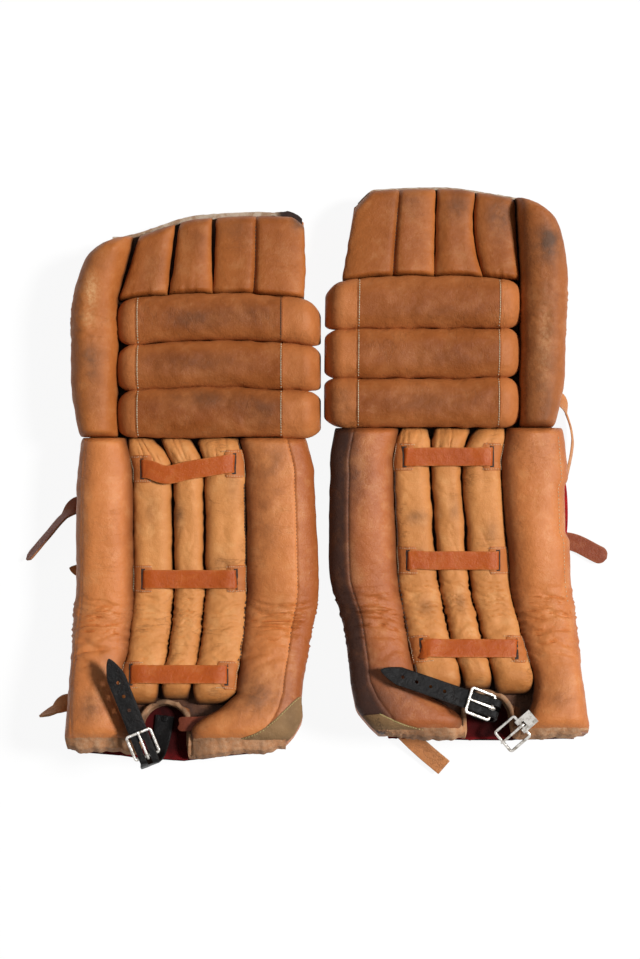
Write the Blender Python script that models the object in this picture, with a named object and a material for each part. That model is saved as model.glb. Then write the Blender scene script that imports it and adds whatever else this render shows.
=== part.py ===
"""A pair of stuffed leather leg pads for an ice hockey goalkeeper, lying on their backs.

Metres, +Z up. The toes point towards -Y, and the pair stands on the ground with its box centred on
the origin. Each pad is drawn flat in (u, v, w): u runs from its centre line to its outer side, v from
the toe ends of its rolls to its thigh, and w from the ground to the front of its rolls. Pad.place
curls the boot up past the ankle and gives the point in the pad's own space.
"""

import bisect
import math

import bmesh
import bpy
from mathutils import Matrix, Vector

MM = 0.001
CLEARANCE = 0.3 * MM
SEAM_GAP = 1.2 * MM

# Lengths along a pad, from the toe ends of the rolls
SHIN_LENGTH = 445 * MM
ANKLE_HEIGHT = 234 * MM
FLARE_RADIUS = 300 * MM
FLARE_ANGLE = math.radians(16)
TOP_MARGIN = 8 * MM

# Widths across a pad, as (place along it, width) where they change
SHIN_OUTER_EDGE = ((0, 179 * MM), (60 * MM, 179 * MM), (150 * MM, 173 * MM), (234 * MM, 168 * MM),
                   (370 * MM, 167 * MM), (445 * MM, 160 * MM))
OUTER_ROLL_WIDTH = ((0, 95 * MM), (64 * MM, 83 * MM), (234 * MM, 81 * MM), (390 * MM, 78 * MM),
                    (445 * MM, 62 * MM))
SHIN_ROLL_WIDTHS = (55 * MM, 43 * MM, 58 * MM)
INNER_ROLL_WIDTH = ((0, 54 * MM), (14 * MM, 69 * MM), (38 * MM, 84 * MM), (150 * MM, 89 * MM),
                    (250 * MM, 99 * MM), (330 * MM, 98 * MM), (445 * MM, 92 * MM))
SHIN_SHIFT_SHARES = (1, 1, 1, 0.55)
SHIN_ROLL_TOE = 66 * MM
INNER_TOE_SPREAD = ((0, 60 * MM), (15 * MM, 54 * MM), (33 * MM, 33 * MM), (46 * MM, 14 * MM),
                    (SHIN_ROLL_TOE - SEAM_GAP, 0))
KNEE_INNER_END = 172.5 * MM
THIGH_INNER_EDGE = 150 * MM
THIGH_SLIT_STARTS = (40 * MM, -21 * MM)
UPPER_ROLL_WIDTH = 65 * MM
UPPER_ROLL_WAIST = ((0, 16 * MM), (25 * MM, 10 * MM), (75 * MM, 2 * MM), (140 * MM, 0))
UPPER_ROLL_SHOULDER = ((0, 69 * MM), (14 * MM, 39 * MM), (37 * MM, 16 * MM), (77 * MM, 4 * MM),
                       (110 * MM, 0))

# Thicknesses, from the ground up
BACK_HEIGHT = 56 * MM
PANEL_THICKNESS = 10 * MM
WALL_THICKNESS = 16 * MM
EDGE_INSET = 2 * MM
BOOT_WALL_RISE = 28 * MM
LINING_THICKNESS = 5 * MM
LINING_REACH = 8 * MM
OUTER_ROLL_RISE = ((0, 50 * MM), (120 * MM, 56 * MM), (300 * MM, 64 * MM), (445 * MM, 58 * MM))
INNER_ROLL_RISE = ((0, 46 * MM), (120 * MM, 52 * MM), (300 * MM, 60 * MM), (445 * MM, 54 * MM))
SHIN_ROLL_RISE = 44 * MM
KNEE_ROLL_RISE = 60 * MM
UPPER_ROLL_RISE = 66 * MM
THIGH_ROLL_RISES = (44 * MM, 30 * MM)

# The section and the ends of a stuffed roll
ARC_STEPS = 8
ROUNDNESS = 0.87
SIDE_RISE = 0.3
BASE_DRAW = 0.86
END_LENGTH = 20 * MM
END_STEPS = 3
END_WIDTH = 0.72
END_HEIGHT = 0.42
STATION_PITCH = 36 * MM
PANEL_STEPS = 5
BOOT_STEPS = 12
FLARE_STEPS = 8
SEWN_CHANNEL_DEPTH = 0.4
SEWN_CHANNEL_PLACE = 0.1
SEWN_CHANNEL_SPREAD = 0.16
SEWN_CHANNEL_STEPS = 4

# The toe arch and its binding
ARCH_CENTRE = 42 * MM
ARCH_WIDTH = 68 * MM
ARCH_HEIGHT = 58 * MM
ARCH_STEPS = 10
BINDING_THICKNESS = 4 * MM
BINDING_HEIGHT = 20 * MM

# The knee break: the line where the thigh section folds back on the shin section
KNEE_FLEX_ROOM = math.radians(21)

# Straps and buckles
STRAP_WIDTH = 25.4 * MM
STRAP_THICKNESS = 3 * MM
STRAP_TIP_WIDTH = 8 * MM
STRAP_STEPS = 2
STRAP_SLOT_HEIGHT = 6.5 * MM
STRAP_SLOT_ROOM = 5 * MM
FRONT_STRAP_LIFT = 1.5 * MM
FRONT_STRAP_END = 6 * MM
HARDWARE_PLAY = 1.5 * MM
BUCKLE_REST_GAP = 0.8 * MM
FRAME_BAR = 4 * MM
FRAME_THICKNESS = 3.5 * MM
FRAME_CORNER = 5 * MM
FRAME_CORNER_STEPS = 3
FRAME_WIDTH = 38 * MM
TOE_FRAME_LENGTH = 39 * MM
REAR_FRAME_LENGTH = 26 * MM
PRONG_WIDTH = 4 * MM
PRONG_THICKNESS = 2.2 * MM
PRONG_SLOT_ENDS = (-11 * MM, 22.75 * MM)
HOOK_TURNS = tuple(math.radians(angle) for angle in range(90, 361, 30))
BAR_EYE_ROOM = 0.4 * MM
BAR_EYE_STEPS = 10
CHAPE_WIDTH = 18 * MM
CHAPE_DEPTH = 11 * MM
CHAPE_HEIGHT = 13 * MM
TAB_LENGTH = 34 * MM
TAB_WIDTH = 20 * MM
TAB_PLACE = 16 * MM
PLATE_LENGTH = 22 * MM
PLATE_WIDTH = 20 * MM
PLATE_THICKNESS = 2 * MM

# Places of the rear straps along each pad, shared with their buckles
KNEE_STRAP_PLACE = SHIN_LENGTH + 44 * MM
LEFT_CALF_STRAP_PLACE = 351 * MM
RIGHT_CALF_STRAP_PLACE = 285 * MM
ANKLE_STRAP_PLACE = 62 * MM

# Routes of the toe straps, from the rivet to the fold before the buckle: (u, v, height over the lining)
LEFT_TOE_STRAP_FOOT = ((44 * MM, 40 * MM, 0), (47 * MM, 16 * MM, 0), (53 * MM, -12 * MM, 5 * MM),
                       (58 * MM, -30 * MM, 18 * MM), (59 * MM, -35 * MM, 42 * MM))
LEFT_TOE_BUCKLE_AT = (66 * MM, -7 * MM, BACK_HEIGHT + 58 * MM)
LEFT_TOE_STRAP_TIP = (112 * MM, 103 * MM, BACK_HEIGHT + 90 * MM)
RIGHT_TOE_STRAP_FOOT = ((26 * MM, 36 * MM, 0), (36 * MM, 33 * MM, 0), (45 * MM, 30 * MM, 4 * MM),
                        (52 * MM, 27 * MM, 20 * MM), (52 * MM, 26 * MM, 42 * MM))
RIGHT_TOE_BUCKLE_AT = (28 * MM, 34 * MM, BACK_HEIGHT + 56 * MM)
RIGHT_TOE_STRAP_TIP = (-105 * MM, 78 * MM, BACK_HEIGHT + 68 * MM)
PLATE_HIGH_END = (106.4 * MM, 24.8 * MM, BACK_HEIGHT + 45.5 * MM)
PLATE_LOW_END = (89.2 * MM, 11.2 * MM, BACK_HEIGHT + 37.2 * MM)

# Shares of half a toe buckle's length and of a toe strap's loose length, where the strap has stations
BUCKLE_PASS_SHARES = (-1.25, -0.45, 0.45, 1.25)
LOOSE_END_SHARES = ((0.6, STRAP_WIDTH), (0.9, STRAP_WIDTH), (1.0, STRAP_TIP_WIDTH))

# Loose ends of the rear straps past the outer side: (distance out, v, w, facing, width)
LEFT_CALF_TAIL = ((8 * MM, 350 * MM, 4 * MM, (0, 0, 1), STRAP_WIDTH),
                  (28 * MM, 334 * MM, 13 * MM, (0.7, 0.6, 0.45), STRAP_WIDTH),
                  (54 * MM, 304 * MM, 14 * MM, (0.7, 0.6, 0.45), STRAP_WIDTH),
                  (82 * MM, 271 * MM, 13 * MM, (0.7, 0.6, 0.45), STRAP_WIDTH))
LEFT_ANKLE_TAIL = ((11 * MM, 61 * MM, 24 * MM, (0, 0, 1), STRAP_WIDTH),
                   (25 * MM, 52 * MM, 26 * MM, (0.2, 0.8, 0.6), STRAP_WIDTH),
                   (46 * MM, 42 * MM, 27 * MM, (0.2, 0.9, 0.45), STRAP_TIP_WIDTH))
RIGHT_KNEE_TAIL_ON_THIGH = ((9 * MM, KNEE_STRAP_PLACE - 2 * MM, 8 * MM, (0.4, 0.2, 0.9), STRAP_WIDTH),
                            (22 * MM, KNEE_STRAP_PLACE - 21 * MM, 15 * MM, (1, 0, 0.2), STRAP_WIDTH))
RIGHT_KNEE_TAIL_ON_SHIN = ((21 * MM, SHIN_LENGTH - 15 * MM, 22 * MM, (1, 0, 0.2), STRAP_WIDTH),
                           (11 * MM, SHIN_LENGTH - 53 * MM, 26 * MM, (1, 0, 0.2), STRAP_WIDTH),
                           (4 * MM, SHIN_LENGTH - 77 * MM, 26 * MM, (1, 0, 0.2), STRAP_WIDTH))
RIGHT_CALF_TAIL = ((14 * MM, 283 * MM, 4 * MM, (0, 0, 1), STRAP_WIDTH),
                   (50 * MM, 266 * MM, 8 * MM, (0, 0, 1), STRAP_WIDTH),
                   (64 * MM, 259 * MM, 9 * MM, (0, 0, 1), STRAP_TIP_WIDTH))

# The right ankle strap's loose end, which hangs past the toe: beside the wall, then in the pad's space
RIGHT_ANKLE_RUN = ((20 * MM, 62 * MM, 0), (44 * MM, 50 * MM, -4 * MM))
RIGHT_ANKLE_TAIL = ((-68 * MM, 27 * MM, 38 * MM), (-50 * MM, 4 * MM, 20 * MM), (-26 * MM, -19 * MM, 12 * MM),
                    (0, -41 * MM, 10 * MM))
RIGHT_ANKLE_FACINGS = ((0, 0, 1), (-0.35, 0.2, 0.9), (-0.35, 0.2, 0.9), (-0.35, 0.2, 0.9))

# Each pad's own place, sizes, leans at toe and top, top edge as (u, drop), places of its front straps, and
# how far its shin rolls lie to the outer side, as (place along it, shift)
LEFT_CENTRE = (-174.6 * MM, -386.4 * MM)
LEFT_KNEE_ROLL_WIDTH = 64.5 * MM
LEFT_KNEE_ROLL_LENGTH = 281 * MM
LEFT_THIGH_LENGTH = 122.5 * MM
LEFT_LEANS = (0, 0)
LEFT_INNER_TAPER = 0 * MM
LEFT_TOP_EDGE = ((-150 * MM, 14 * MM), (-129 * MM, 1 * MM), (-83 * MM, 0), (-3 * MM, 4 * MM), (91 * MM, 31 * MM),
                 (108.5 * MM, 35 * MM))
LEFT_SLIT_TOPS = (78.5 * MM, 26 * MM, -23 * MM)
LEFT_FRONT_STRAPS = (89 * MM, 249 * MM, SHIN_LENGTH - 44 * MM)
LEFT_SHIN_SHIFT = ((0, 0), (66 * MM, 8 * MM), (130 * MM, 0), (445 * MM, 0))
RIGHT_CENTRE = (174.6 * MM, -372.6 * MM)
RIGHT_KNEE_ROLL_WIDTH = 68 * MM
RIGHT_KNEE_ROLL_LENGTH = 270 * MM
RIGHT_THIGH_LENGTH = 133 * MM
RIGHT_LEANS = (12 * MM, 6 * MM)
RIGHT_INNER_TAPER = 16 * MM
RIGHT_TOP_EDGE = ((-134 * MM, 26 * MM), (-107 * MM, 3 * MM), (-19 * MM, 0), (88 * MM, 14 * MM),
                  (97.5 * MM, 16 * MM))
RIGHT_SLIT_TOPS = (82 * MM, 35 * MM, -21 * MM)
RIGHT_FRONT_STRAPS = (111 * MM, 261 * MM, SHIN_LENGTH - 41 * MM)
RIGHT_SHIN_SHIFT = ((0, 0), (66 * MM, 10 * MM), (130 * MM, 1 * MM), (275 * MM, -8 * MM), (385 * MM, -15 * MM),
                    (445 * MM, -16 * MM))

FINISHES = {
    "tan_leather": ((0.47, 0.20, 0.075), 0.55, 0.0),
    "pale_leather": ((0.56, 0.29, 0.11), 0.55, 0.0),
    "brown_leather": ((0.33, 0.14, 0.06), 0.55, 0.0),
    "strap_leather": ((0.40, 0.13, 0.05), 0.5, 0.0),
    "black_leather": ((0.012, 0.012, 0.013), 0.4, 0.0),
    "red_felt": ((0.28, 0.02, 0.02), 0.95, 0.0),
    "nickel": ((0.72, 0.72, 0.70), 0.22, 1.0),
}


def smooth_curve(points):
    """The function that passes through the points without overshooting them."""
    places = [point[0] for point in points]
    values = [point[1] for point in points]
    slopes = [(after[1] - before[1]) / (after[0] - before[0]) for before, after in zip(points, points[1:])]
    tangents = [slopes[0]]
    for before, after in zip(slopes, slopes[1:]):
        tangents.append(2 * before * after / (before + after) if before * after > 0 else 0.0)
    tangents.append(slopes[-1])

    def value(place):
        if place <= places[0]:
            return values[0]
        if place >= places[-1]:
            return values[-1]
        i = bisect.bisect_right(places, place) - 1
        step = places[i + 1] - places[i]
        t = (place - places[i]) / step
        rise = values[i + 1] - values[i]
        ease = t * t * (3 - 2 * t)
        lean = (1 - t) * tangents[i] - t * tangents[i + 1]
        return values[i] + rise * ease + step * t * (1 - t) * lean

    return value


outer_edge = smooth_curve(SHIN_OUTER_EDGE)
outer_roll_width = smooth_curve(OUTER_ROLL_WIDTH)
inner_roll_width = smooth_curve(INNER_ROLL_WIDTH)
inner_toe_spread = smooth_curve(INNER_TOE_SPREAD)
outer_roll_rise = smooth_curve(OUTER_ROLL_RISE)
inner_roll_rise = smooth_curve(INNER_ROLL_RISE)
waist = smooth_curve(UPPER_ROLL_WAIST)
shoulder = smooth_curve(UPPER_ROLL_SHOULDER)


def inner_edge(v):
    return outer_edge(v) - outer_roll_width(v) - sum(SHIN_ROLL_WIDTHS) - inner_roll_width(v)


def wall_bottom(v):
    """The side walls end higher towards the toe, where the boot lifts off the ground."""
    return BOOT_WALL_RISE * max(0.0, 1 - v / ANKLE_HEIGHT)


class Pad:
    """One pad's own sizes, and the way from its flat coordinates to its own space."""

    def __init__(self, name, side, centre, knee_roll_width, knee_roll_length, thigh_length, leans,
                 inner_taper, top_edge, slit_tops, front_straps, shin_shift):
        self.name = name
        self.side = side
        self.centre = centre
        self.knee_roll_width = knee_roll_width
        self.knee_outer_end = knee_roll_length - KNEE_INNER_END
        self.thigh_start = SHIN_LENGTH + 3 * knee_roll_width
        self.thigh_end = self.thigh_start + thigh_length
        self.top_drop = smooth_curve(top_edge)
        self.outer_top = self.thigh_end - top_edge[-1][1]
        self.toe_lean, self.top_lean = leans
        self.inner_taper = inner_taper
        self.slit_tops = slit_tops
        self.front_straps = front_straps
        self.shin_shift = smooth_curve(shin_shift)

    def roll_border(self, v, count):
        """Where the outer roll's inner side lies, less the widths of this many shin rolls."""
        straight = outer_edge(v) - outer_roll_width(v) - sum(SHIN_ROLL_WIDTHS[:count])
        return straight + SHIN_SHIFT_SHARES[count] * self.shin_shift(v)

    def sway(self, v):
        """How far the pad leans outwards at this place along it."""
        if v < SHIN_LENGTH:
            return self.toe_lean * (1 - v / SHIN_LENGTH) ** 2
        return self.top_lean * ((v - SHIN_LENGTH) / (self.thigh_end - SHIN_LENGTH)) ** 2

    def curl(self, v):
        """The angle through which the boot has curled up at this place."""
        return min(max(0.0, ANKLE_HEIGHT - v) / FLARE_RADIUS, FLARE_ANGLE)

    def place(self, u, v, w):
        x = self.side * (u + self.sway(v))
        if v >= ANKLE_HEIGHT:
            return Vector((x, v, w))
        angle = self.curl(v)
        straight = ANKLE_HEIGHT - v - angle * FLARE_RADIUS
        y = ANKLE_HEIGHT - (FLARE_RADIUS - w) * math.sin(angle) - straight * math.cos(angle)
        z = FLARE_RADIUS - (FLARE_RADIUS - w) * math.cos(angle) + straight * math.sin(angle)
        return Vector((x, y, z))

    def turn(self, v):
        """The rotation from flat directions to the pad's space at this place, for a right-handed frame."""
        return Matrix.Rotation(-self.curl(v), 4, "X")

    def direction(self, v, flat):
        return self.turn(v).to_3x3() @ Vector((self.side * flat[0], flat[1], flat[2]))

    def upper_outer_edge(self, v):
        full = self.knee_outer_end + UPPER_ROLL_WIDTH
        return full - max(waist(v - SHIN_LENGTH), shoulder(self.outer_top - v))

    def top(self, u):
        """The curved top edge of the thigh, lower towards the outer side."""
        return self.thigh_end - self.top_drop(u)

    def thigh_share(self, v):
        return min(max((v - self.thigh_start) / (self.thigh_end - self.thigh_start), 0.0), 1.0)

    def thigh_border(self, v, index):
        """The outer slit, the two middle slits and the inner edge of the thigh rolls."""
        low = (self.knee_outer_end, *THIGH_SLIT_STARTS, -THIGH_INNER_EDGE)[index]
        high = (*self.slit_tops, self.inner_taper - THIGH_INNER_EDGE)[index]
        return low + (high - low) * self.thigh_share(v)


class Carrier:
    """An empty that carries nodes. A joint's empty has its local Z along the joint's axis."""

    def __init__(self, name, matrix, parent=None):
        self.matrix = matrix
        self.empty = bpy.data.objects.new(name, None)
        self.empty.empty_display_size = 20 * MM
        bpy.context.scene.collection.objects.link(self.empty)
        if parent:
            self.empty.parent = parent.empty
            self.empty.matrix_local = parent.matrix.inverted() @ matrix
        else:
            self.empty.matrix_local = matrix


def joint_frame(position, axis):
    """A matrix at the position whose local Z points along the axis."""
    return Matrix.Translation(position) @ axis.to_track_quat("Z", "X").to_matrix().to_4x4()


def hardware_frame(origin, along, facing):
    """A matrix at the origin with local X along a strap and local Z out of its face."""
    along = along.normalized()
    across = facing.cross(along).normalized()
    out = along.cross(across)
    rotation = Matrix((along, across, out)).transposed().to_4x4()
    return Matrix.Translation(origin) @ rotation


def finish_material(name):
    material = bpy.data.materials.get(name)
    if material is None:
        colour, roughness, metallic = FINISHES[name]
        material = bpy.data.materials.new(name)
        material.use_nodes = True
        shader = material.node_tree.nodes["Principled BSDF"]
        shader.inputs["Base Color"].default_value = (*colour, 1.0)
        shader.inputs["Roughness"].default_value = roughness
        shader.inputs["Metallic"].default_value = metallic
    return material


def add_node(name, bm, finish, carrier):
    """A mesh object, drawn in the pad's space and hung on its carrier."""
    bmesh.ops.recalc_face_normals(bm, faces=bm.faces)
    bmesh.ops.transform(bm, matrix=carrier.matrix.inverted(), verts=bm.verts)
    mesh = bpy.data.meshes.new(name)
    bm.to_mesh(mesh)
    bm.free()
    mesh.materials.append(finish_material(finish))
    mesh.shade_smooth()
    mesh.set_sharp_from_angle(angle=math.radians(40))
    obj = bpy.data.objects.new(name, mesh)
    bpy.context.scene.collection.objects.link(obj)
    obj.parent = carrier.empty
    return obj


def combine(obj, name, bm, carrier, operation="DIFFERENCE"):
    """A Boolean modifier on the object, with its hidden tool."""
    tool = add_node(f"{obj.name}_{name}", bm, "tan_leather", carrier)
    tool.hide_render = True
    tool.display_type = "WIRE"
    modifier = obj.modifiers.new(name, "BOOLEAN")
    modifier.operation = operation
    modifier.solver = "EXACT"
    modifier.object = tool


def loft(rings):
    """A closed body through rings of equally many points."""
    bm = bmesh.new()
    rows = [[bm.verts.new(point) for point in ring] for ring in rings]
    for row, following in zip(rows, rows[1:]):
        for i in range(len(row)):
            j = (i + 1) % len(row)
            bm.faces.new((row[i], row[j], following[j], following[i]))
    bm.faces.new(rows[0])
    bm.faces.new(rows[-1])
    return bm


def extruded(outline, frame, start, end):
    """A closed body: an outline in the frame's X and Z, drawn out along its Y."""
    return loft([[frame @ Vector((x, y, z)) for x, z in outline] for y in (start, end)])


def frame_ring(frame, length, width):
    """A rectangular buckle frame with round corners, flat in the frame's XY and centred on it."""

    def rounded(inset):
        radius = FRAME_CORNER - inset
        half_length = length / 2 - FRAME_CORNER
        half_width = width / 2 - FRAME_CORNER
        points = []
        for quarter in range(4):
            middle = Vector((half_length if quarter in (0, 3) else -half_length,
                             half_width if quarter in (0, 1) else -half_width, 0))
            for step in range(FRAME_CORNER_STEPS + 1):
                angle = math.pi / 2 * (quarter + step / FRAME_CORNER_STEPS)
                points.append(middle + radius * Vector((math.cos(angle), math.sin(angle), 0)))
        return points

    lift = Vector((0, 0, FRAME_THICKNESS / 2))
    outer = rounded(0)
    inner = rounded(FRAME_BAR)
    bm = bmesh.new()
    loops = [[bm.verts.new(frame @ (point + shift)) for point in outline]
             for outline, shift in ((outer, -lift), (outer, lift), (inner, lift), (inner, -lift))]
    for loop, following in zip(loops, loops[1:] + loops[:1]):
        for i in range(len(loop)):
            j = (i + 1) % len(loop)
            bm.faces.new((loop[i], loop[j], following[j], following[i]))
    return bm


def bar_reach():
    """The radius that clears a frame's bar all round."""
    return math.hypot(FRAME_BAR, FRAME_THICKNESS) / 2 + BAR_EYE_ROOM


def hooked_bar(frame, eye_at, length, thickness, width):
    """A bar along the frame's X whose end wraps most of the way round a buckle's bar at eye_at."""
    inner = bar_reach()
    outer = inner + thickness
    outline = [(eye_at + length, inner), (eye_at + length, outer), (eye_at, outer)]
    outline += [(eye_at + outer * math.cos(turn), outer * math.sin(turn)) for turn in HOOK_TURNS[1:]]
    outline += [(eye_at + inner * math.cos(turn), inner * math.sin(turn)) for turn in reversed(HOOK_TURNS)]
    return extruded(outline, frame, -width / 2, width / 2)


def band(stations, thickness=STRAP_THICKNESS):
    """A flat strap through stations of (point, facing, width), smoothed between them."""
    path = []
    last = len(stations) - 1
    for i in range(last):
        near = [Vector(stations[min(max(k, 0), last)][0]) for k in range(i - 1, i + 3)]
        for step in range(STRAP_STEPS):
            t = step / STRAP_STEPS
            point = 0.5 * (2 * near[1] + (near[2] - near[0]) * t
                           + (2 * near[0] - 5 * near[1] + 4 * near[2] - near[3]) * t ** 2
                           + (3 * near[1] - near[0] - 3 * near[2] + near[3]) * t ** 3)
            facing = stations[i][1].lerp(stations[i + 1][1], t)
            width = stations[i][2] + (stations[i + 1][2] - stations[i][2]) * t
            path.append((point, facing, width))
    path.append(stations[-1])
    rings = []
    for i, (point, facing, width) in enumerate(path):
        tangent = (path[min(i + 1, len(path) - 1)][0] - path[max(i - 1, 0)][0]).normalized()
        across = tangent.cross(facing).normalized() * width / 2
        out = across.cross(tangent).normalized() * thickness / 2
        rings.append([point + across + out, point - across + out, point - across - out, point + across - out])
    return loft(rings)


def prism(pad, outline, low, high):
    """A cutter or block: an outline in (u, v), drawn from one height to another."""
    return loft([[pad.place(u, v, w) for u, v in outline] for w in (low, high)])


def roll_section(seam):
    """(share of the half width, share of the height) round a roll, with a sewn channel or none."""
    points = [(-BASE_DRAW, 0.0), (BASE_DRAW, 0.0)]
    steps = ARC_STEPS + (SEWN_CHANNEL_STEPS if seam else 0)
    for step in range(steps + 1):
        angle = math.pi * step / steps
        across = math.copysign(abs(math.cos(angle)) ** ROUNDNESS, math.cos(angle))
        rise = SIDE_RISE + (1 - SIDE_RISE) * abs(math.sin(angle)) ** ROUNDNESS
        if seam:
            away = (across - SEWN_CHANNEL_PLACE) / SEWN_CHANNEL_SPREAD
            rise *= 1 - SEWN_CHANNEL_DEPTH * math.exp(-away ** 2)
        points.append((across, rise))
    return points


def rise_share(across):
    """The share of a roll's height that it reaches at this share of its half width."""
    return SIDE_RISE + (1 - SIDE_RISE) * max(0.0, 1 - abs(across) ** (2 / ROUNDNESS)) ** (ROUNDNESS / 2)


def roll_stations(start, end, corners):
    """(place, fullness) along a roll with drawn-in ends, and a station at each corner of its borders."""
    turns = [math.pi / 2 * step / END_STEPS for step in range(END_STEPS + 1)]
    first = [(start + END_LENGTH * (1 - math.cos(turn)), math.sin(turn)) for turn in turns]
    last = [(end - END_LENGTH * (1 - math.cos(turn)), math.sin(turn)) for turn in reversed(turns)]
    length = end - start - 2 * END_LENGTH
    count = max(1, round(length / STATION_PITCH))
    places = [start + END_LENGTH + length * i / count for i in range(1, count)]
    nearest = STATION_PITCH / 4
    places = [place for place in places if all(abs(place - corner) > nearest for corner in corners)]
    middle = [(place, 1.0) for place in sorted([*places, *corners])]
    return first + middle + last


def stuffed_roll(pad, piece, finish, carrier, span, borders, rise, lying=False, seam=False, corners=(),
                 follow=None):
    """A roll along v, or along u where it is lying, seated on the back panel between its borders.

    Where follow is given, it moves a point along the roll, so that its end follows a slanted edge."""
    seat = BACK_HEIGHT + CLEARANCE
    rings = []
    for place, fullness in roll_stations(*span, corners):
        low, high = borders(place)
        middle = (low + high) / 2
        half = (high - low - SEAM_GAP) / 2 * (END_WIDTH + (1 - END_WIDTH) * fullness)
        height = rise(place) * (END_HEIGHT + (1 - END_HEIGHT) * fullness)
        ring = []
        for across, share in roll_section(seam):
            side = middle + half * across
            u, v = (place, side) if lying else (side, place)
            if follow:
                v = follow(u, v)
            ring.append(pad.place(u, v, seat + height * share))
        rings.append(ring)
    return add_node(f"{pad.name}_{piece}", loft(rings), finish, carrier)


def channel_ring(pad, walls, bottom, along):
    """The section of a back panel with its two side walls, as points for a loft.

    Its points are at shares of the way from the outer to the inner wall."""
    ceiling = BACK_HEIGHT - PANEL_THICKNESS
    shares = [step / PANEL_STEPS for step in range(PANEL_STEPS + 1)]
    section = [(0, 0, bottom), *[(share, 0, BACK_HEIGHT) for share in shares], (1, 0, bottom),
               (1, WALL_THICKNESS, bottom),
               *[(share, WALL_THICKNESS * (2 * share - 1), ceiling) for share in reversed(shares)],
               (0, -WALL_THICKNESS, bottom)]
    ring = []
    for share, inwards, w in section:
        v = along(share, w)
        outer, inner = walls(v)
        ring.append(pad.place(outer + (inner - outer) * share + inwards, v, w))
    return ring


def shin_stations():
    """Places along the shin for its panel and lining, close together where the boot curls."""
    flare_end = ANKLE_HEIGHT - FLARE_ANGLE * FLARE_RADIUS
    end = SHIN_LENGTH - CLEARANCE / 2
    parts = ((0, flare_end, BOOT_STEPS), (flare_end, ANKLE_HEIGHT, FLARE_STEPS),
             (ANKLE_HEIGHT, end, PANEL_STEPS))
    places = [low + (high - low) * step / steps for low, high, steps in parts for step in range(steps)]
    return [*places, end]


def shin_walls(v):
    """The outer faces of the shin's two side walls."""
    return outer_edge(v) - EDGE_INSET, inner_edge(v) + EDGE_INSET


def thigh_walls(pad, v):
    return pad.upper_outer_edge(v) - EDGE_INSET, pad.thigh_border(v, -1) + EDGE_INSET


def arch_outline(inset=0.0, foot=-60 * MM):
    """The toe arch in (u, v), from its inner foot over its crown to its outer foot."""
    radius = ARCH_WIDTH / 2 - inset
    spring = ARCH_HEIGHT - ARCH_WIDTH / 2
    turns = [math.pi * (1 - step / ARCH_STEPS) for step in range(ARCH_STEPS + 1)]
    crown = [(ARCH_CENTRE + radius * math.cos(turn), spring + radius * math.sin(turn)) for turn in turns]
    return [(ARCH_CENTRE - radius, foot), *crown, (ARCH_CENTRE + radius, foot)]


def shin_back_panel(pad, carrier):
    """The shin's back with its side walls, which make the leg channel, cut by the toe arch."""
    rings = [channel_ring(pad, shin_walls, wall_bottom(v), lambda share, w, v=v: v) for v in shin_stations()]
    panel = add_node(f"{pad.name}_shin_back_panel", loft(rings), "tan_leather", carrier)
    ceiling = BACK_HEIGHT - PANEL_THICKNESS
    arch = prism(pad, arch_outline(), ceiling - PANEL_THICKNESS, BACK_HEIGHT + PANEL_THICKNESS)
    combine(panel, "toe_arch", arch, carrier)
    return panel


def thigh_back_panel(pad, carrier):
    """The back of the knee and thigh, with its toe end cut back so that it can fold."""
    start = SHIN_LENGTH + CLEARANCE / 2
    slope = math.tan(KNEE_FLEX_ROOM)
    square = start + BACK_HEIGHT * slope + TOP_MARGIN
    length = pad.outer_top - TOP_MARGIN - square
    levels = [square + length * step / PANEL_STEPS for step in range(PANEL_STEPS + 1)]
    outer, inner = thigh_walls(pad, pad.outer_top)
    routes = [lambda share, w: start + (BACK_HEIGHT - w) * slope]
    routes += [lambda share, w, level=level: level for level in levels]
    routes += [lambda share, w: pad.top(outer + (inner - outer) * share)]
    rings = [channel_ring(pad, lambda v: thigh_walls(pad, v), 0.0, route) for route in routes]
    return add_node(f"{pad.name}_thigh_back_panel", loft(rings), "tan_leather", carrier)


def felt_lining(pad, carrier):
    """The felt that faces the leg, under the shin's panel and out past its toe edge."""
    top = BACK_HEIGHT - PANEL_THICKNESS - CLEARANCE
    rings = []
    for v in (-LINING_REACH, *shin_stations()):
        outer, inner = shin_walls(v)
        outer -= WALL_THICKNESS + CLEARANCE
        inner += WALL_THICKNESS + CLEARANCE
        low = top - LINING_THICKNESS
        section = [(outer, low), (outer, top), (inner, top), (inner, low)]
        rings.append([pad.place(u, v, w) for u, w in section])
    add_node(f"{pad.name}_felt_lining", loft(rings), "red_felt", carrier)


def toe_binding(pad, carrier):
    """The strip that binds the toe edge, from the outer corner round the arch to the inner corner."""
    near = CLEARANCE
    far = CLEARANCE + BINDING_THICKNESS
    rings = []
    outer, inner = shin_walls(0)
    rows = []
    for inset in (near, far):
        arch = arch_outline(inset, -inset)
        rows.append([(inner, -inset), *arch, (outer, -inset)])
    low = BACK_HEIGHT - PANEL_THICKNESS + CLEARANCE
    high = low + BINDING_HEIGHT
    for back, front in zip(*rows):
        rings.append([pad.place(*back, low), pad.place(*front, low),
                      pad.place(*front, high), pad.place(*back, high)])
    add_node(f"{pad.name}_toe_binding", loft(rings), "brown_leather", carrier)


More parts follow.
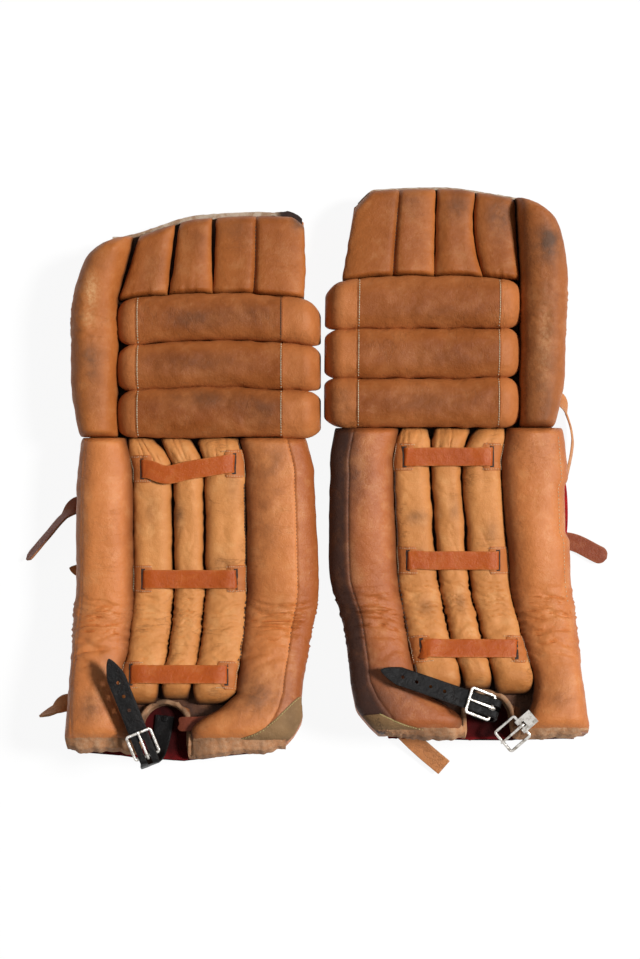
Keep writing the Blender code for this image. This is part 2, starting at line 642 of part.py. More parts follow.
def shin_rolls(pad, carrier):
    count = len(SHIN_ROLL_WIDTHS)
    span = (0, SHIN_LENGTH - SEAM_GAP / 2)
    stuffed_roll(pad, "outer_roll_lower", "tan_leather", carrier, span,
                 lambda v: (pad.roll_border(v, 0), outer_edge(v)), outer_roll_rise)
    stuffed_roll(pad, "inner_roll_lower", "tan_leather", carrier, span,
                 lambda v: (inner_edge(v), pad.roll_border(v, count) + inner_toe_spread(v)), inner_roll_rise,
                 corners=(INNER_TOE_SPREAD[-2][0], INNER_TOE_SPREAD[-1][0]))
    for i, piece in enumerate(("outer", "center", "inner")):
        stuffed_roll(pad, f"shin_roll_{piece}", "pale_leather", carrier, (SHIN_ROLL_TOE, span[1]),
                     lambda v, i=i: (pad.roll_border(v, i + 1), pad.roll_border(v, i)),
                     lambda v: SHIN_ROLL_RISE)


def knee_rolls(pad, carrier):
    span = (-KNEE_INNER_END, pad.knee_outer_end - SEAM_GAP / 2)
    for i, piece in enumerate(("bottom", "middle", "top")):
        low = SHIN_LENGTH + i * pad.knee_roll_width
        stuffed_roll(pad, f"knee_roll_{piece}", "brown_leather", carrier, span,
                     lambda u, low=low: (low, low + pad.knee_roll_width), lambda u: KNEE_ROLL_RISE,
                     lying=True)


def upper_rolls(pad, carrier):
    def outer_borders(v):
        low = pad.knee_outer_end if v < pad.thigh_start else pad.thigh_border(v, 0)
        return low, pad.upper_outer_edge(v)

    stuffed_roll(pad, "outer_roll_upper", "tan_leather", carrier,
                 (SHIN_LENGTH + SEAM_GAP / 2, pad.outer_top), outer_borders, lambda v: UPPER_ROLL_RISE,
                 corners=(pad.thigh_start + SEAM_GAP,))
    low_rise, high_rise = THIGH_ROLL_RISES

    def rise(v):
        share = (v - pad.thigh_start) / (pad.thigh_end - pad.thigh_start)
        return low_rise + (high_rise - low_rise) * share

    for i, piece in enumerate(("outer", "middle", "inner")):
        middle = (pad.thigh_border(pad.thigh_end, i) + pad.thigh_border(pad.thigh_end, i + 1)) / 2
        start = pad.thigh_start + SEAM_GAP
        end = pad.top(middle) - TOP_MARGIN

        def follow(u, v, start=start, end=end):
            return start + (v - start) / (end - start) * (pad.top(u) - TOP_MARGIN - start)

        stuffed_roll(pad, f"thigh_roll_{piece}", "tan_leather", carrier, (start, end),
                     lambda v, i=i: (pad.thigh_border(v, i + 1), pad.thigh_border(v, i)), rise,
                     seam=piece == "inner", follow=follow)


def front_straps(pad, carrier):
    """Straps across the shin rolls, whose ends dip into the valleys beside the side rolls."""
    crown = BACK_HEIGHT + CLEARANCE + SHIN_ROLL_RISE
    count = len(SHIN_ROLL_WIDTHS)
    lift = FRONT_STRAP_LIFT + STRAP_THICKNESS / 2

    def resting(u, v, index):
        """The height of a strap on the side of this shin roll."""
        shares = []
        for step in range(-2, 3):
            under = v + STRAP_WIDTH * step / 4
            high, low = pad.roll_border(under, index), pad.roll_border(under, index + 1)
            shares.append(rise_share(min(1.0, abs(2 * u - high - low) / (high - low))))
        return BACK_HEIGHT + CLEARANCE + SHIN_ROLL_RISE * max(shares) + lift

    for piece, v in zip(("bottom", "middle", "top"), pad.front_straps):
        first, last = pad.roll_border(v, 0), pad.roll_border(v, count)
        dips = [FRONT_STRAP_END * step for step in (1, 2, 3)]
        route = [(first - dip, resting(first - dip, v, 0)) for dip in dips]
        route += [(first - SHIN_ROLL_WIDTHS[0] / 2, crown + lift), ((first + last) / 2, crown + lift),
                  (last + SHIN_ROLL_WIDTHS[-1] / 2, crown + lift)]
        route += [(last + dip, resting(last + dip, v, count - 1)) for dip in reversed(dips)]
        facing = pad.direction(v, (0, 0, 1))
        stations = [(pad.place(u, v, w), facing, STRAP_WIDTH) for u, w in route]
        add_node(f"{pad.name}_front_strap_{piece}", band(stations), "strap_leather", carrier)


def rear_strap(pad, piece, carrier, panel, walls, v, tail, slotted):
    """A strap hinged at the inner wall's foot, across the channel and out at the outer side."""
    outer = walls(v)[0]
    bottom = wall_bottom(v)
    rest = bottom + 2 * CLEARANCE + STRAP_THICKNESS / 2
    half = STRAP_WIDTH / 2
    wall = max(walls(edge)[1] + pad.sway(edge) for edge in (v - half, v + half)) - pad.sway(v)
    start = wall + WALL_THICKNESS + 2 * CLEARANCE
    inside = outer - WALL_THICKNESS
    up = pad.direction(v, (0, 0, 1))
    low_edge = pad.place(start, v, rest - STRAP_THICKNESS / 2)
    hinge_at = joint_frame(low_edge, pad.direction(v, (0, pad.side, 0)))
    hinge = Carrier(f"{pad.name}_{piece}_hinge", hinge_at, carrier)
    stations = [(pad.place(start, v, rest), up, STRAP_WIDTH)]
    if slotted:
        stations += [(pad.place((start + inside) / 2, v, rest), up, STRAP_WIDTH),
                     (pad.place(inside - STRAP_WIDTH / 2, v, rest), up, STRAP_WIDTH),
                     (pad.place(outer, v, rest), up, STRAP_WIDTH)]
        half += STRAP_SLOT_ROOM
        reach = WALL_THICKNESS / 2
        outline = [(inside - reach, v - half), (outer + reach, v - half), (outer + reach, v + half),
                   (inside - reach, v + half)]
        slot = prism(pad, outline, bottom - STRAP_SLOT_HEIGHT, bottom + STRAP_SLOT_HEIGHT)
        combine(panel, f"{piece}_slot", slot, carrier)
    add_node(f"{pad.name}_{piece}", band(stations + tail), "strap_leather", hinge)


def rear_buckle(pad, piece, carrier, panel, walls, v):
    """A buckle frame that hangs in the channel from a leather loop on the outer wall."""
    outer = min(walls(v - FRAME_WIDTH / 2)[0], walls(v + FRAME_WIDTH / 2)[0]) - WALL_THICKNESS
    ceiling = BACK_HEIGHT - PANEL_THICKNESS - LINING_THICKNESS - 4 * CLEARANCE
    low = ceiling - CHAPE_HEIGHT
    half = CHAPE_WIDTH / 2
    outline = [(outer - CHAPE_DEPTH, v - half), (outer + WALL_THICKNESS / 2, v - half),
               (outer + WALL_THICKNESS / 2, v + half), (outer - CHAPE_DEPTH, v + half)]
    combine(panel, f"{piece}_loop", prism(pad, outline, low, ceiling), carrier, "UNION")
    bar_at = (outer - CHAPE_DEPTH / 2, low + CHAPE_HEIGHT / 2)
    centre = pad.place(bar_at[0], v, bar_at[1])
    along = pad.direction(v, (0, 1, 0))
    down = pad.direction(v, (0, 0, -1))
    sideways = hardware_frame(centre, down, down.cross(along))
    turns = [2 * math.pi * step / BAR_EYE_STEPS for step in range(BAR_EYE_STEPS)]
    circle = [(bar_reach() * math.cos(turn), bar_reach() * math.sin(turn)) for turn in turns]
    combine(panel, f"{piece}_eye", extruded(circle, sideways, -CHAPE_WIDTH, CHAPE_WIDTH), carrier)
    hinge = Carrier(f"{pad.name}_{piece}_hinge", joint_frame(centre, pad.side * along), carrier)
    ring_at = sideways @ Matrix.Translation(((REAR_FRAME_LENGTH - FRAME_BAR) / 2, 0, 0))
    add_node(f"{pad.name}_{piece}", frame_ring(ring_at, REAR_FRAME_LENGTH, FRAME_WIDTH), "nickel", hinge)


def buckle_with_prong(pad, piece, frame, carrier):
    """A frame and its prong, both hinged on the frame's bar at its low X end."""
    bar_at = (FRAME_BAR - TOE_FRAME_LENGTH) / 2
    bar = frame @ Vector((bar_at, 0, 0))
    lift_axis = -(frame.to_3x3() @ Vector((0, 1, 0)))
    hinge = Carrier(f"{pad.name}_{piece}_hinge", joint_frame(bar, lift_axis), carrier)
    add_node(f"{pad.name}_{piece}", frame_ring(frame, TOE_FRAME_LENGTH, FRAME_WIDTH), "nickel", hinge)
    prong_hinge = Carrier(f"{pad.name}_{piece}_prong_hinge", joint_frame(bar, lift_axis), hinge)
    prong = hooked_bar(frame, bar_at, TOE_FRAME_LENGTH, PRONG_THICKNESS, PRONG_WIDTH)
    add_node(f"{pad.name}_{piece}_prong", prong, "nickel", prong_hinge)


def toe_strap(pad, carrier, foot, buckle_centre, tip):
    """A strap riveted to the lining in the arch, folded up and back through its own buckle."""
    origin = pad.place(*buckle_centre)
    along = pad.place(*tip) - origin
    reach = along.length
    up = pad.direction(0, (0, 0, 1))
    threaded = hardware_frame(origin, along, up)
    rest = BACK_HEIGHT - PANEL_THICKNESS + 2 * CLEARANCE + STRAP_THICKNESS / 2
    bottom = [pad.place(u, v, rest + lift) for u, v, lift in foot]
    swivel = Carrier(f"{pad.name}_toe_strap_hinge", joint_frame(bottom[0], pad.side * up), carrier)
    facing = threaded.to_3x3() @ Vector((0, 0, 1))
    across = threaded.to_3x3() @ Vector((0, 1, 0))
    stations = []
    half_frame = TOE_FRAME_LENGTH / 2
    straight = [threaded @ Vector((share * half_frame, 0, 0)) for share in BUCKLE_PASS_SHARES]
    points = bottom + straight
    for i, point in enumerate(points):
        if i >= len(bottom):
            stations.append((point, facing, STRAP_WIDTH))
            continue
        tangent = points[i + 1] - points[max(i - 1, 0)]
        outward = across.cross(tangent)
        stations.append((point, -outward.normalized() if outward.length else facing, STRAP_WIDTH))
    for share, width in LOOSE_END_SHARES:
        stations.append((threaded @ Vector((share * reach, 0, 0)), facing, width))
    strap = add_node(f"{pad.name}_toe_strap", band(stations), "black_leather", swivel)
    drop = (STRAP_THICKNESS + FRAME_THICKNESS) / 2 + BUCKLE_REST_GAP
    tilt = math.asin(2 * drop / (TOE_FRAME_LENGTH - FRAME_BAR))
    tilted = threaded @ Matrix.Rotation(-tilt, 4, "Y")
    buckle_with_prong(pad, "toe_buckle", tilted, swivel)
    half = PRONG_WIDTH / 2 + HARDWARE_PLAY
    first, last = [(FRAME_BAR - TOE_FRAME_LENGTH) / 2 + end for end in PRONG_SLOT_ENDS]
    slot = [(first, -STRAP_WIDTH / 2), (last, -STRAP_WIDTH / 2), (last, STRAP_WIDTH / 2),
            (first, STRAP_WIDTH / 2)]
    combine(strap, "prong_slot", extruded(slot, threaded, -half, half), swivel)


def left_toe_pieces(pad, carrier):
    """The toe strap, and a leather tab riveted across the arch's inner rim."""
    toe_strap(pad, carrier, LEFT_TOE_STRAP_FOOT, LEFT_TOE_BUCKLE_AT, LEFT_TOE_STRAP_TIP)
    level = BACK_HEIGHT - PANEL_THICKNESS + BINDING_HEIGHT + 2 * CLEARANCE
    middle = ARCH_CENTRE - ARCH_WIDTH / 2
    first, last = middle - TAB_LENGTH / 2, middle + TAB_LENGTH / 2
    outline = [(first, TAB_PLACE), (last, TAB_PLACE), (last, TAB_PLACE + TAB_WIDTH),
               (first, TAB_PLACE + TAB_WIDTH)]
    tab = prism(pad, outline, level, level + STRAP_THICKNESS)
    add_node(f"{pad.name}_toe_tab", tab, "brown_leather", carrier)


def right_toe_pieces(pad, carrier):
    """The toe strap, and a second buckle that hangs from a plate riveted to the outer roll."""
    toe_strap(pad, carrier, RIGHT_TOE_STRAP_FOOT, RIGHT_TOE_BUCKLE_AT, RIGHT_TOE_STRAP_TIP)
    high = pad.place(*PLATE_HIGH_END)
    low = pad.place(*PLATE_LOW_END)
    seat = hardware_frame(low, low - high, pad.direction(0, (0, 0, 1)))
    eye_at = bar_reach() + 2 * PLATE_THICKNESS
    flipped = seat @ Matrix.Translation((eye_at, 0, -bar_reach())) @ Matrix.Rotation(math.pi, 4, "Z")
    plate = hooked_bar(flipped, 0, PLATE_LENGTH, PLATE_THICKNESS, PLATE_WIDTH)
    tab = add_node(f"{pad.name}_toe_tab", plate, "nickel", carrier)
    gap = bar_reach() + PLATE_THICKNESS + HARDWARE_PLAY
    notch = [(-gap, -gap), (gap, -gap), (gap, gap), (-gap, gap)]
    half = PRONG_WIDTH / 2 + HARDWARE_PLAY
    combine(tab, "prong_notch", extruded(notch, flipped, -half, half), carrier)
    hanging = seat @ Matrix.Translation((eye_at + (TOE_FRAME_LENGTH - FRAME_BAR) / 2, 0, -bar_reach()))
    buckle_with_prong(pad, "second_toe_buckle", hanging, carrier)


def outer_tail(pad, edge, route):
    """Strap stations past the outer wall."""
    stations = []
    for out, v, w, facing, width in route:
        stations.append((pad.place(edge(v) + out, v, w), pad.direction(v, facing).normalized(), width))
    return stations


def left_tails(pad):
    """Each rear strap's place, its loose end and whether it leaves through the outer wall."""
    return {"knee_strap": (KNEE_STRAP_PLACE, [], True),
            "calf_strap": (LEFT_CALF_STRAP_PLACE, outer_tail(pad, outer_edge, LEFT_CALF_TAIL), True),
            "ankle_strap": (ANKLE_STRAP_PLACE, outer_tail(pad, outer_edge, LEFT_ANKLE_TAIL), True)}


def right_tails(pad):
    knee = outer_tail(pad, pad.upper_outer_edge, RIGHT_KNEE_TAIL_ON_THIGH)
    knee += outer_tail(pad, outer_edge, RIGHT_KNEE_TAIL_ON_SHIN)
    inside = inner_edge(ANKLE_STRAP_PLACE) + EDGE_INSET + WALL_THICKNESS
    level = wall_bottom(ANKLE_STRAP_PLACE)
    up = pad.direction(0, (0, 0, 1))
    ankle = [(pad.place(inside + run, v, level + lift), up, STRAP_WIDTH) for run, v, lift in RIGHT_ANKLE_RUN]
    ankle += [(Vector(point), Vector(facing).normalized(), STRAP_WIDTH)
              for point, facing in zip(RIGHT_ANKLE_TAIL, RIGHT_ANKLE_FACINGS)]
    return {"knee_strap": (KNEE_STRAP_PLACE, knee, True),
            "calf_strap": (RIGHT_CALF_STRAP_PLACE, outer_tail(pad, outer_edge, RIGHT_CALF_TAIL), True),
            "ankle_strap": (ANKLE_STRAP_PLACE, ankle, False)}


def build_pad(pad, pair, tails, toe_pieces):
    shin = Carrier(f"{pad.name}_pad", Matrix.Translation((*pad.centre, 0)), pair)
    shin.matrix = Matrix()
    fold_at = pad.place(0, SHIN_LENGTH, BACK_HEIGHT)
    thigh = Carrier(f"{pad.name}_knee_flex", joint_frame(fold_at, Vector((-1, 0, 0))), shin)
    shin_panel = shin_back_panel(pad, shin)
    thigh_panel = thigh_back_panel(pad, thigh)
    felt_lining(pad, shin)
    toe_binding(pad, shin)
    shin_rolls(pad, shin)
    knee_rolls(pad, thigh)
    upper_rolls(pad, thigh)
    front_straps(pad, shin)
    for piece, (v, tail, slotted) in tails(pad).items():
        on_thigh = v > SHIN_LENGTH
        carrier = thigh if on_thigh else shin
        panel = thigh_panel if on_thigh else shin_panel
        walls = (lambda v: thigh_walls(pad, v)) if on_thigh else shin_walls
        rear_strap(pad, piece, carrier, panel, walls, v, tail, slotted)
        buckle = piece.replace("strap", "buckle")
        rear_buckle(pad, buckle, carrier, panel, walls, v)
    toe_pieces(pad, shin)


def stand_on_origin(pair):
    """Moves the pair so that its box stands on the ground, centred on the origin."""
    bpy.context.view_layer.update()
    graph = bpy.context.evaluated_depsgraph_get()
    points = []
    for obj in bpy.context.scene.objects:
        if obj.type == "MESH" and not obj.hide_render:
            evaluated = obj.evaluated_get(graph)
            points += [evaluated.matrix_world @ vertex.co for vertex in evaluated.data.vertices]
    low = Vector(min(point[axis] for point in points) for axis in range(3))
    high = Vector(max(point[axis] for point in points) for axis in range(3))
    middle = (low + high) / 2
    pair.empty.location = (-middle.x, -middle.y, -low.z)


for old in list(bpy.data.objects):
    bpy.data.objects.remove(old, do_unlink=True)

PAIR = Carrier("pair", Matrix())
LEFT = Pad("left", -1, LEFT_CENTRE, LEFT_KNEE_ROLL_WIDTH, LEFT_KNEE_ROLL_LENGTH, LEFT_THIGH_LENGTH,
           LEFT_LEANS, LEFT_INNER_TAPER, LEFT_TOP_EDGE, LEFT_SLIT_TOPS, LEFT_FRONT_STRAPS, LEFT_SHIN_SHIFT)
RIGHT = Pad("right", 1, RIGHT_CENTRE, RIGHT_KNEE_ROLL_WIDTH, RIGHT_KNEE_ROLL_LENGTH, RIGHT_THIGH_LENGTH,
            RIGHT_LEANS, RIGHT_INNER_TAPER, RIGHT_TOP_EDGE, RIGHT_SLIT_TOPS, RIGHT_FRONT_STRAPS,
            RIGHT_SHIN_SHIFT)
build_pad(LEFT, PAIR, left_tails, left_toe_pieces)
build_pad(RIGHT, PAIR, right_tails, right_toe_pieces)
stand_on_origin(PAIR)
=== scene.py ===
"""A pair of stuffed leather leg pads for an ice hockey goalkeeper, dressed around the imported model."""

import bisect
import math

import bmesh
import bpy
from mathutils import Matrix, Vector, noise


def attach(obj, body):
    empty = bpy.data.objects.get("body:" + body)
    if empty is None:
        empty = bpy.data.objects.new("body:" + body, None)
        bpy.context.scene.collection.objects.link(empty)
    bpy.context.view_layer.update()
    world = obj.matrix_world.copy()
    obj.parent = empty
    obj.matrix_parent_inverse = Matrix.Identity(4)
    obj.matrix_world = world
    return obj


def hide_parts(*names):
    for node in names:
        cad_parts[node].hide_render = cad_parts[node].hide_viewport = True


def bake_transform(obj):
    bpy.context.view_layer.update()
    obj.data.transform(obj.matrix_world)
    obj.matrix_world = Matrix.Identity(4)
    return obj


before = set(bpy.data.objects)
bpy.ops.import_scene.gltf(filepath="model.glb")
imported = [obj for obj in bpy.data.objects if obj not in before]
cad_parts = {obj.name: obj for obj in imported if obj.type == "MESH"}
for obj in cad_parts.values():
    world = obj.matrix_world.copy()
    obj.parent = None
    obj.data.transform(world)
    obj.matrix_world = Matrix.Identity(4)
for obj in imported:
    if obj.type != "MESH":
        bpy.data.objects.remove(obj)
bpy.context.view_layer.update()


# The studio. A white table and white surround, a hard lamp high on the right and a weak one on the left.
# The camera looks straight down on the pair.
MM = 0.001
CAMERA_AT = (0.00606, 0.00714, 2.3)
CAMERA_LENS = 59.85
SURROUND_LIGHT = 0.10
TABLE_COLOUR = (0.62, 0.62, 0.62, 1)
TABLE_SIZE = 6
TABLE_DROP = 0.0004
TABLE_GLOW = 1.05
TABLE_GLOW_SHARE = 0.88
LAMPS = (("key_lamp", (5.2, 0.9, 6.6), 1.5, 975), ("left_lamp", (-1.4, 0.5, 1.7), 1.4, 4))


class Socket:
    """A value in a finish's nodes. An expression on it adds Math nodes."""

    def __init__(self, finish, output):
        self.finish = finish
        self.output = output

    def math(self, operation, first, second):
        return self.finish.add("Math", {"operation": operation}, {0: first, 1: second})

    def __add__(self, other):
        return self.math("ADD", self, other)

    def __sub__(self, other):
        return self.math("SUBTRACT", self, other)

    def __rsub__(self, other):
        return self.math("SUBTRACT", other, self)

    def __mul__(self, other):
        return self.math("MULTIPLY", self, other)

    __radd__ = __add__
    __rmul__ = __mul__

    def most(self, limit):
        return self.math("MINIMUM", self, limit)

    def between(self, low, high):
        """Eases from 0 where the value is low to 1 where it is high."""
        sockets = {"Value": self, "From Min": low, "From Max": high}
        return self.finish.add("MapRange", {"interpolation_type": "SMOOTHSTEP"}, sockets)


class Finish:
    """The nodes of a material or of the surround. Each node comes from its type, settings and sockets."""

    def __init__(self, owner):
        owner.use_nodes = True
        self.owner = owner
        self.tree = owner.node_tree

    def feed(self, target, value):
        if isinstance(value, Socket):
            self.tree.links.new(value.output, target)
        else:
            target.default_value = value

    def add(self, kind, settings, sockets, output=0):
        node = self.tree.nodes.new(f"ShaderNode{kind}")
        for name, value in settings.items():
            setattr(node, name, value)
        for name, value in sockets.items():
            self.feed(node.inputs[name], value)
        return Socket(self, node.outputs[output])

    def seen(self):
        """1 for what the camera sees, straight or in a shiny or clear thing, and 0 for light that falls."""
        camera, glossy, through = [self.add("LightPath", {}, {}, f"Is {way} Ray")
                                   for way in ("Camera", "Glossy", "Transmission")]
        return (camera + glossy + through).most(1)


surround = Finish(bpy.data.worlds.new("surround"))
bpy.context.scene.world = surround.owner
background = surround.tree.nodes["Background"]
background.inputs["Color"].default_value = (1, 1, 1, 1)
surround.feed(background.inputs["Strength"], SURROUND_LIGHT + (1 - SURROUND_LIGHT) * surround.seen())

bm = bmesh.new()
bmesh.ops.create_grid(bm, x_segments=1, y_segments=1, size=TABLE_SIZE / 2)
bmesh.ops.translate(bm, verts=bm.verts, vec=(0, 0, -TABLE_DROP))
table_mesh = bpy.data.meshes.new("table")
bm.to_mesh(table_mesh)
bm.free()
table = bpy.data.objects.new("table", table_mesh)
bpy.context.scene.collection.objects.link(table)
table_finish = Finish(bpy.data.materials.new("table_white"))
table_mesh.materials.append(table_finish.owner)
table_shader = table_finish.tree.nodes["Principled BSDF"]
table_shader.inputs["Base Color"].default_value = TABLE_COLOUR
table_shader.inputs["Roughness"].default_value = 1
table_shader.inputs["Specular IOR Level"].default_value = 0
plain = table_finish.add("Emission", {}, {"Color": (1, 1, 1, 1), "Strength": TABLE_GLOW})
mixed = table_finish.add("MixShader", {}, {0: TABLE_GLOW_SHARE * table_finish.seen(), 2: plain})
table_finish.tree.links.new(table_shader.outputs[0], mixed.output.node.inputs[1])
table_finish.tree.links.new(mixed.output, table_finish.tree.nodes["Material Output"].inputs["Surface"])

for lamp_name, lamp_at, lamp_size, lamp_power in LAMPS:
    lamp = bpy.data.objects.new(lamp_name, bpy.data.lights.new(lamp_name, "AREA"))
    lamp.data.size = lamp_size
    lamp.data.energy = lamp_power
    lamp.location = lamp_at
    lamp.rotation_euler = (-Vector(lamp_at)).to_track_quat("-Z", "Y").to_euler()
    bpy.context.scene.collection.objects.link(lamp)
camera = bpy.data.objects.new("camera", bpy.data.cameras.new("camera"))
camera.data.lens = CAMERA_LENS
camera.location = CAMERA_AT
bpy.context.scene.collection.objects.link(camera)
bpy.context.scene.camera = camera
bpy.context.scene.view_settings.view_transform = "Standard"


# The backs of the pads. Each is a board of stiff leather with two side walls, which make a channel for the
# leg. The shin's back and the thigh's back meet at the knee, where the pad folds; the toe arch is cut out.
SHIN_LENGTH = 445
ANKLE_HEIGHT = 234
FLARE_RADIUS = 300
FLARE_ANGLE = math.radians(16)
SEAM_GAP = 1.2
CLEARANCE = 0.3
BACK_HEIGHT = 56
PANEL_THICKNESS = 10
WALL_THICKNESS = 16
EDGE_INSET = 2
BOOT_WALL_RISE = 28
KNEE_FLEX_ROOM = math.radians(21)
SHARP_ANGLE = math.radians(50)
SHIN_ROLL_WIDTHS = (55, 43, 58)
SHIN_SHIFT_SHARES = (1, 1, 1, 0.55)
SHIN_ROLL_TOE = 66
THIGH_SLIT_STARTS = (40, -21)
KNEE_INNER_END = 172.5
THIGH_INNER_EDGE = 150
UPPER_ROLL_WIDTH = 65
ARCH_CENTRE = 42
ARCH_WIDTH = 68
ARCH_HEIGHT = 58
ARCH_FOOT = -60
ARCH_CUT_LEVELS = (36, 66)
STRAP_WIDTH = 25.4
STRAP_THICKNESS = 3
STRAP_SLOT_HEIGHT = 6.5
NOTCH_HALF = STRAP_WIDTH / 2 + 5
KNEE_STRAP_PLACE = SHIN_LENGTH + 44
ANKLE_STRAP_PLACE = 62
CALF_STRAP_PLACES = {"left": 351, "right": 285}
CORNER_TUCK_LENGTH = 70
OUTER_TUCK = 4.5
OUTER_TUCK_START = 161
TAN = (0.52, 0.172, 0.044, 1)
TAN_DEEP = (0.31, 0.082, 0.019, 1)
TAN_PALE = (0.66, 0.34, 0.14, 1)
# Near black: the soiling in the leather's cracks, and the painted shade in slits and valleys.
GRIME_AND_SHADE = (0.020, 0.006, 0.003, 1)
SOOT = (0.060, 0.034, 0.020, 1)


def smooth_curve(*points):
    """The function that passes through the points without overshooting them."""
    places = [point[0] for point in points]
    values = [point[1] for point in points]
    slopes = [(after[1] - before[1]) / (after[0] - before[0]) for before, after in zip(points, points[1:])]
    tangents = [slopes[0]]
    for before, after in zip(slopes, slopes[1:]):
        tangents.append(2 * before * after / (before + after) if before * after > 0 else 0.0)
    tangents.append(slopes[-1])

    def value(place):
        if place <= places[0]:
            return values[0]
        if place >= places[-1]:
            return values[-1]
        i = bisect.bisect_right(places, place) - 1
        step = places[i + 1] - places[i]
        t = (place - places[i]) / step
        rise = values[i + 1] - values[i]
        lean = (1 - t) * tangents[i] - t * tangents[i + 1]
        return values[i] + rise * t * t * (3 - 2 * t) + step * t * (1 - t) * lean

    return value


def clamped(value):
    return min(1.0, max(0.0, value))


def bell(value, middle, reach):
    """1 at the middle, falling off smoothly to both sides."""
    return math.exp(-((value - middle) / reach) ** 2)


def spaced(start, end, count):
    """Places from start to end, with this many equal steps between them."""
    return [start + (end - start) * step / count for step in range(count + 1)]


outer_edge = smooth_curve((0, 179), (60, 179), (150, 173), (234, 168), (370, 167), (445, 160))
outer_roll_width = smooth_curve((0, 95), (64, 83), (234, 81), (390, 78), (445, 62))
inner_roll_width = smooth_curve((0, 54), (14, 69), (38, 84), (150, 89), (250, 99), (330, 98), (445, 92))
inner_toe_spread = smooth_curve((0, 77), (15, 73), (25, 63), (33, 50), (46, 24),
                                (SHIN_ROLL_TOE - SEAM_GAP, 0))
upper_waist = smooth_curve((0, 16), (25, 10), (75, 2), (140, 0))
upper_shoulder = smooth_curve((0, 69), (14, 39), (37, 16), (77, 4), (110, 0))


def inner_edge(v):
    return outer_edge(v) - outer_roll_width(v) - sum(SHIN_ROLL_WIDTHS) - inner_roll_width(v)


def wall_bottom(v):
    """The side walls end higher towards the toe, where the boot lifts off the ground."""
    return BOOT_WALL_RISE * max(0.0, 1 - v / ANKLE_HEIGHT)


def shin_walls(v):
    return outer_edge(v) - EDGE_INSET, inner_edge(v) + EDGE_INSET


class Pad:
    """One pad's own sizes, and the way from flat (u, v, w) to the shared frame, all in millimetres."""

    def __init__(self, name, side, centre, knee_roll_width, knee_roll_length, thigh_length, leans,
                 inner_taper, slit_tops, top_edge, shin_shift, tucks):
        self.name = name
        self.side = side
        self.centre = centre
        self.knee_roll_width = knee_roll_width
        self.knee_outer_end = knee_roll_length - KNEE_INNER_END
        self.thigh_start = SHIN_LENGTH + 3 * knee_roll_width
        self.thigh_end = self.thigh_start + thigh_length
        self.top_drop = smooth_curve(*top_edge)
        self.outer_top = self.thigh_end - top_edge[-1][1]
        self.inner_taper = inner_taper
        self.slit_tops = slit_tops
        self.shin_shift = smooth_curve(*shin_shift)
        self.toe_lean, self.top_lean = leans
        self.corner_tuck, self.boot_tuck = tucks
        self.shin = f"{name}_shin"
        self.thigh = f"{name}_thigh"

    def sway(self, v):
        if v < SHIN_LENGTH:
            return self.toe_lean * (1 - v / SHIN_LENGTH) ** 2
        return self.top_lean * ((v - SHIN_LENGTH) / (self.thigh_end - SHIN_LENGTH)) ** 2

    def tuck(self, u, v):
        """How far the sides are drawn in at the inner toe corner and drawn in or swollen along the boot."""
        corner = self.corner_tuck * max(0.0, 1 - v / CORNER_TUCK_LENGTH) ** 1.3
        boot = self.boot_tuck * bell(v, 150, 75)
        outer = -OUTER_TUCK * bell(v, 90, 80) * clamped((u - OUTER_TUCK_START) / WALL_THICKNESS)
        return (corner + boot) * clamped((-u - 60) / 110) + outer

    def curl(self, v):
        return min(max(0.0, ANKLE_HEIGHT - v) / FLARE_RADIUS, FLARE_ANGLE)

    def place(self, u, v, w):
        x = self.centre[0] + self.side * (u + self.sway(v) + self.tuck(u, v))
        angle = self.curl(v)
        straight = max(0.0, ANKLE_HEIGHT - v) - angle * FLARE_RADIUS
        y = max(v, ANKLE_HEIGHT) - (FLARE_RADIUS - w) * math.sin(angle) - straight * math.cos(angle)
        z = FLARE_RADIUS - (FLARE_RADIUS - w) * math.cos(angle) + straight * math.sin(angle)
        return Vector((x, self.centre[1] + y, z))

    def own(self, point):
        """A point of the pad's own space in the shared frame."""
        return Vector((self.centre[0] + point[0], self.centre[1] + point[1], point[2]))

    def direction(self, v, flat):
        turn = Matrix.Rotation(-self.curl(v), 3, "X")
        return (turn @ Vector((self.side * flat[0], flat[1], flat[2]))).normalized()

    def roll_border(self, v, count):
        """Where the outer roll's inner side lies, less the widths of this many shin rolls."""
        straight = outer_edge(v) - outer_roll_width(v) - sum(SHIN_ROLL_WIDTHS[:count])
        return straight + SHIN_SHIFT_SHARES[count] * self.shin_shift(v)

    def upper_outer_edge(self, v):
        full = self.knee_outer_end + UPPER_ROLL_WIDTH
        return full - max(upper_waist(v - SHIN_LENGTH), upper_shoulder(self.outer_top - v))

    def top(self, u):
        return self.thigh_end - self.top_drop(u)

    def thigh_walls(self, v):
        return self.upper_outer_edge(v) - EDGE_INSET, self.thigh_border(v, -1) + EDGE_INSET

    def thigh_border(self, v, index):
        low = (self.knee_outer_end, *THIGH_SLIT_STARTS, -THIGH_INNER_EDGE)[index]
        high = (*self.slit_tops, self.inner_taper - THIGH_INNER_EDGE)[index]
        share = (v - self.thigh_start) / (self.thigh_end - self.thigh_start)
        return low + (high - low) * clamped(share)

    def add(self, name, bm, finish, body, slot, replaced=None):
        """A finished piece. Its name, its body's and its replaced solid's all start with the pad's name."""
        solids = [f"{self.name}_{replaced}"] if replaced else ()
        return add_piece(f"{self.name}_{name}", bm, finish, f"{self.name}_{body}", solids)


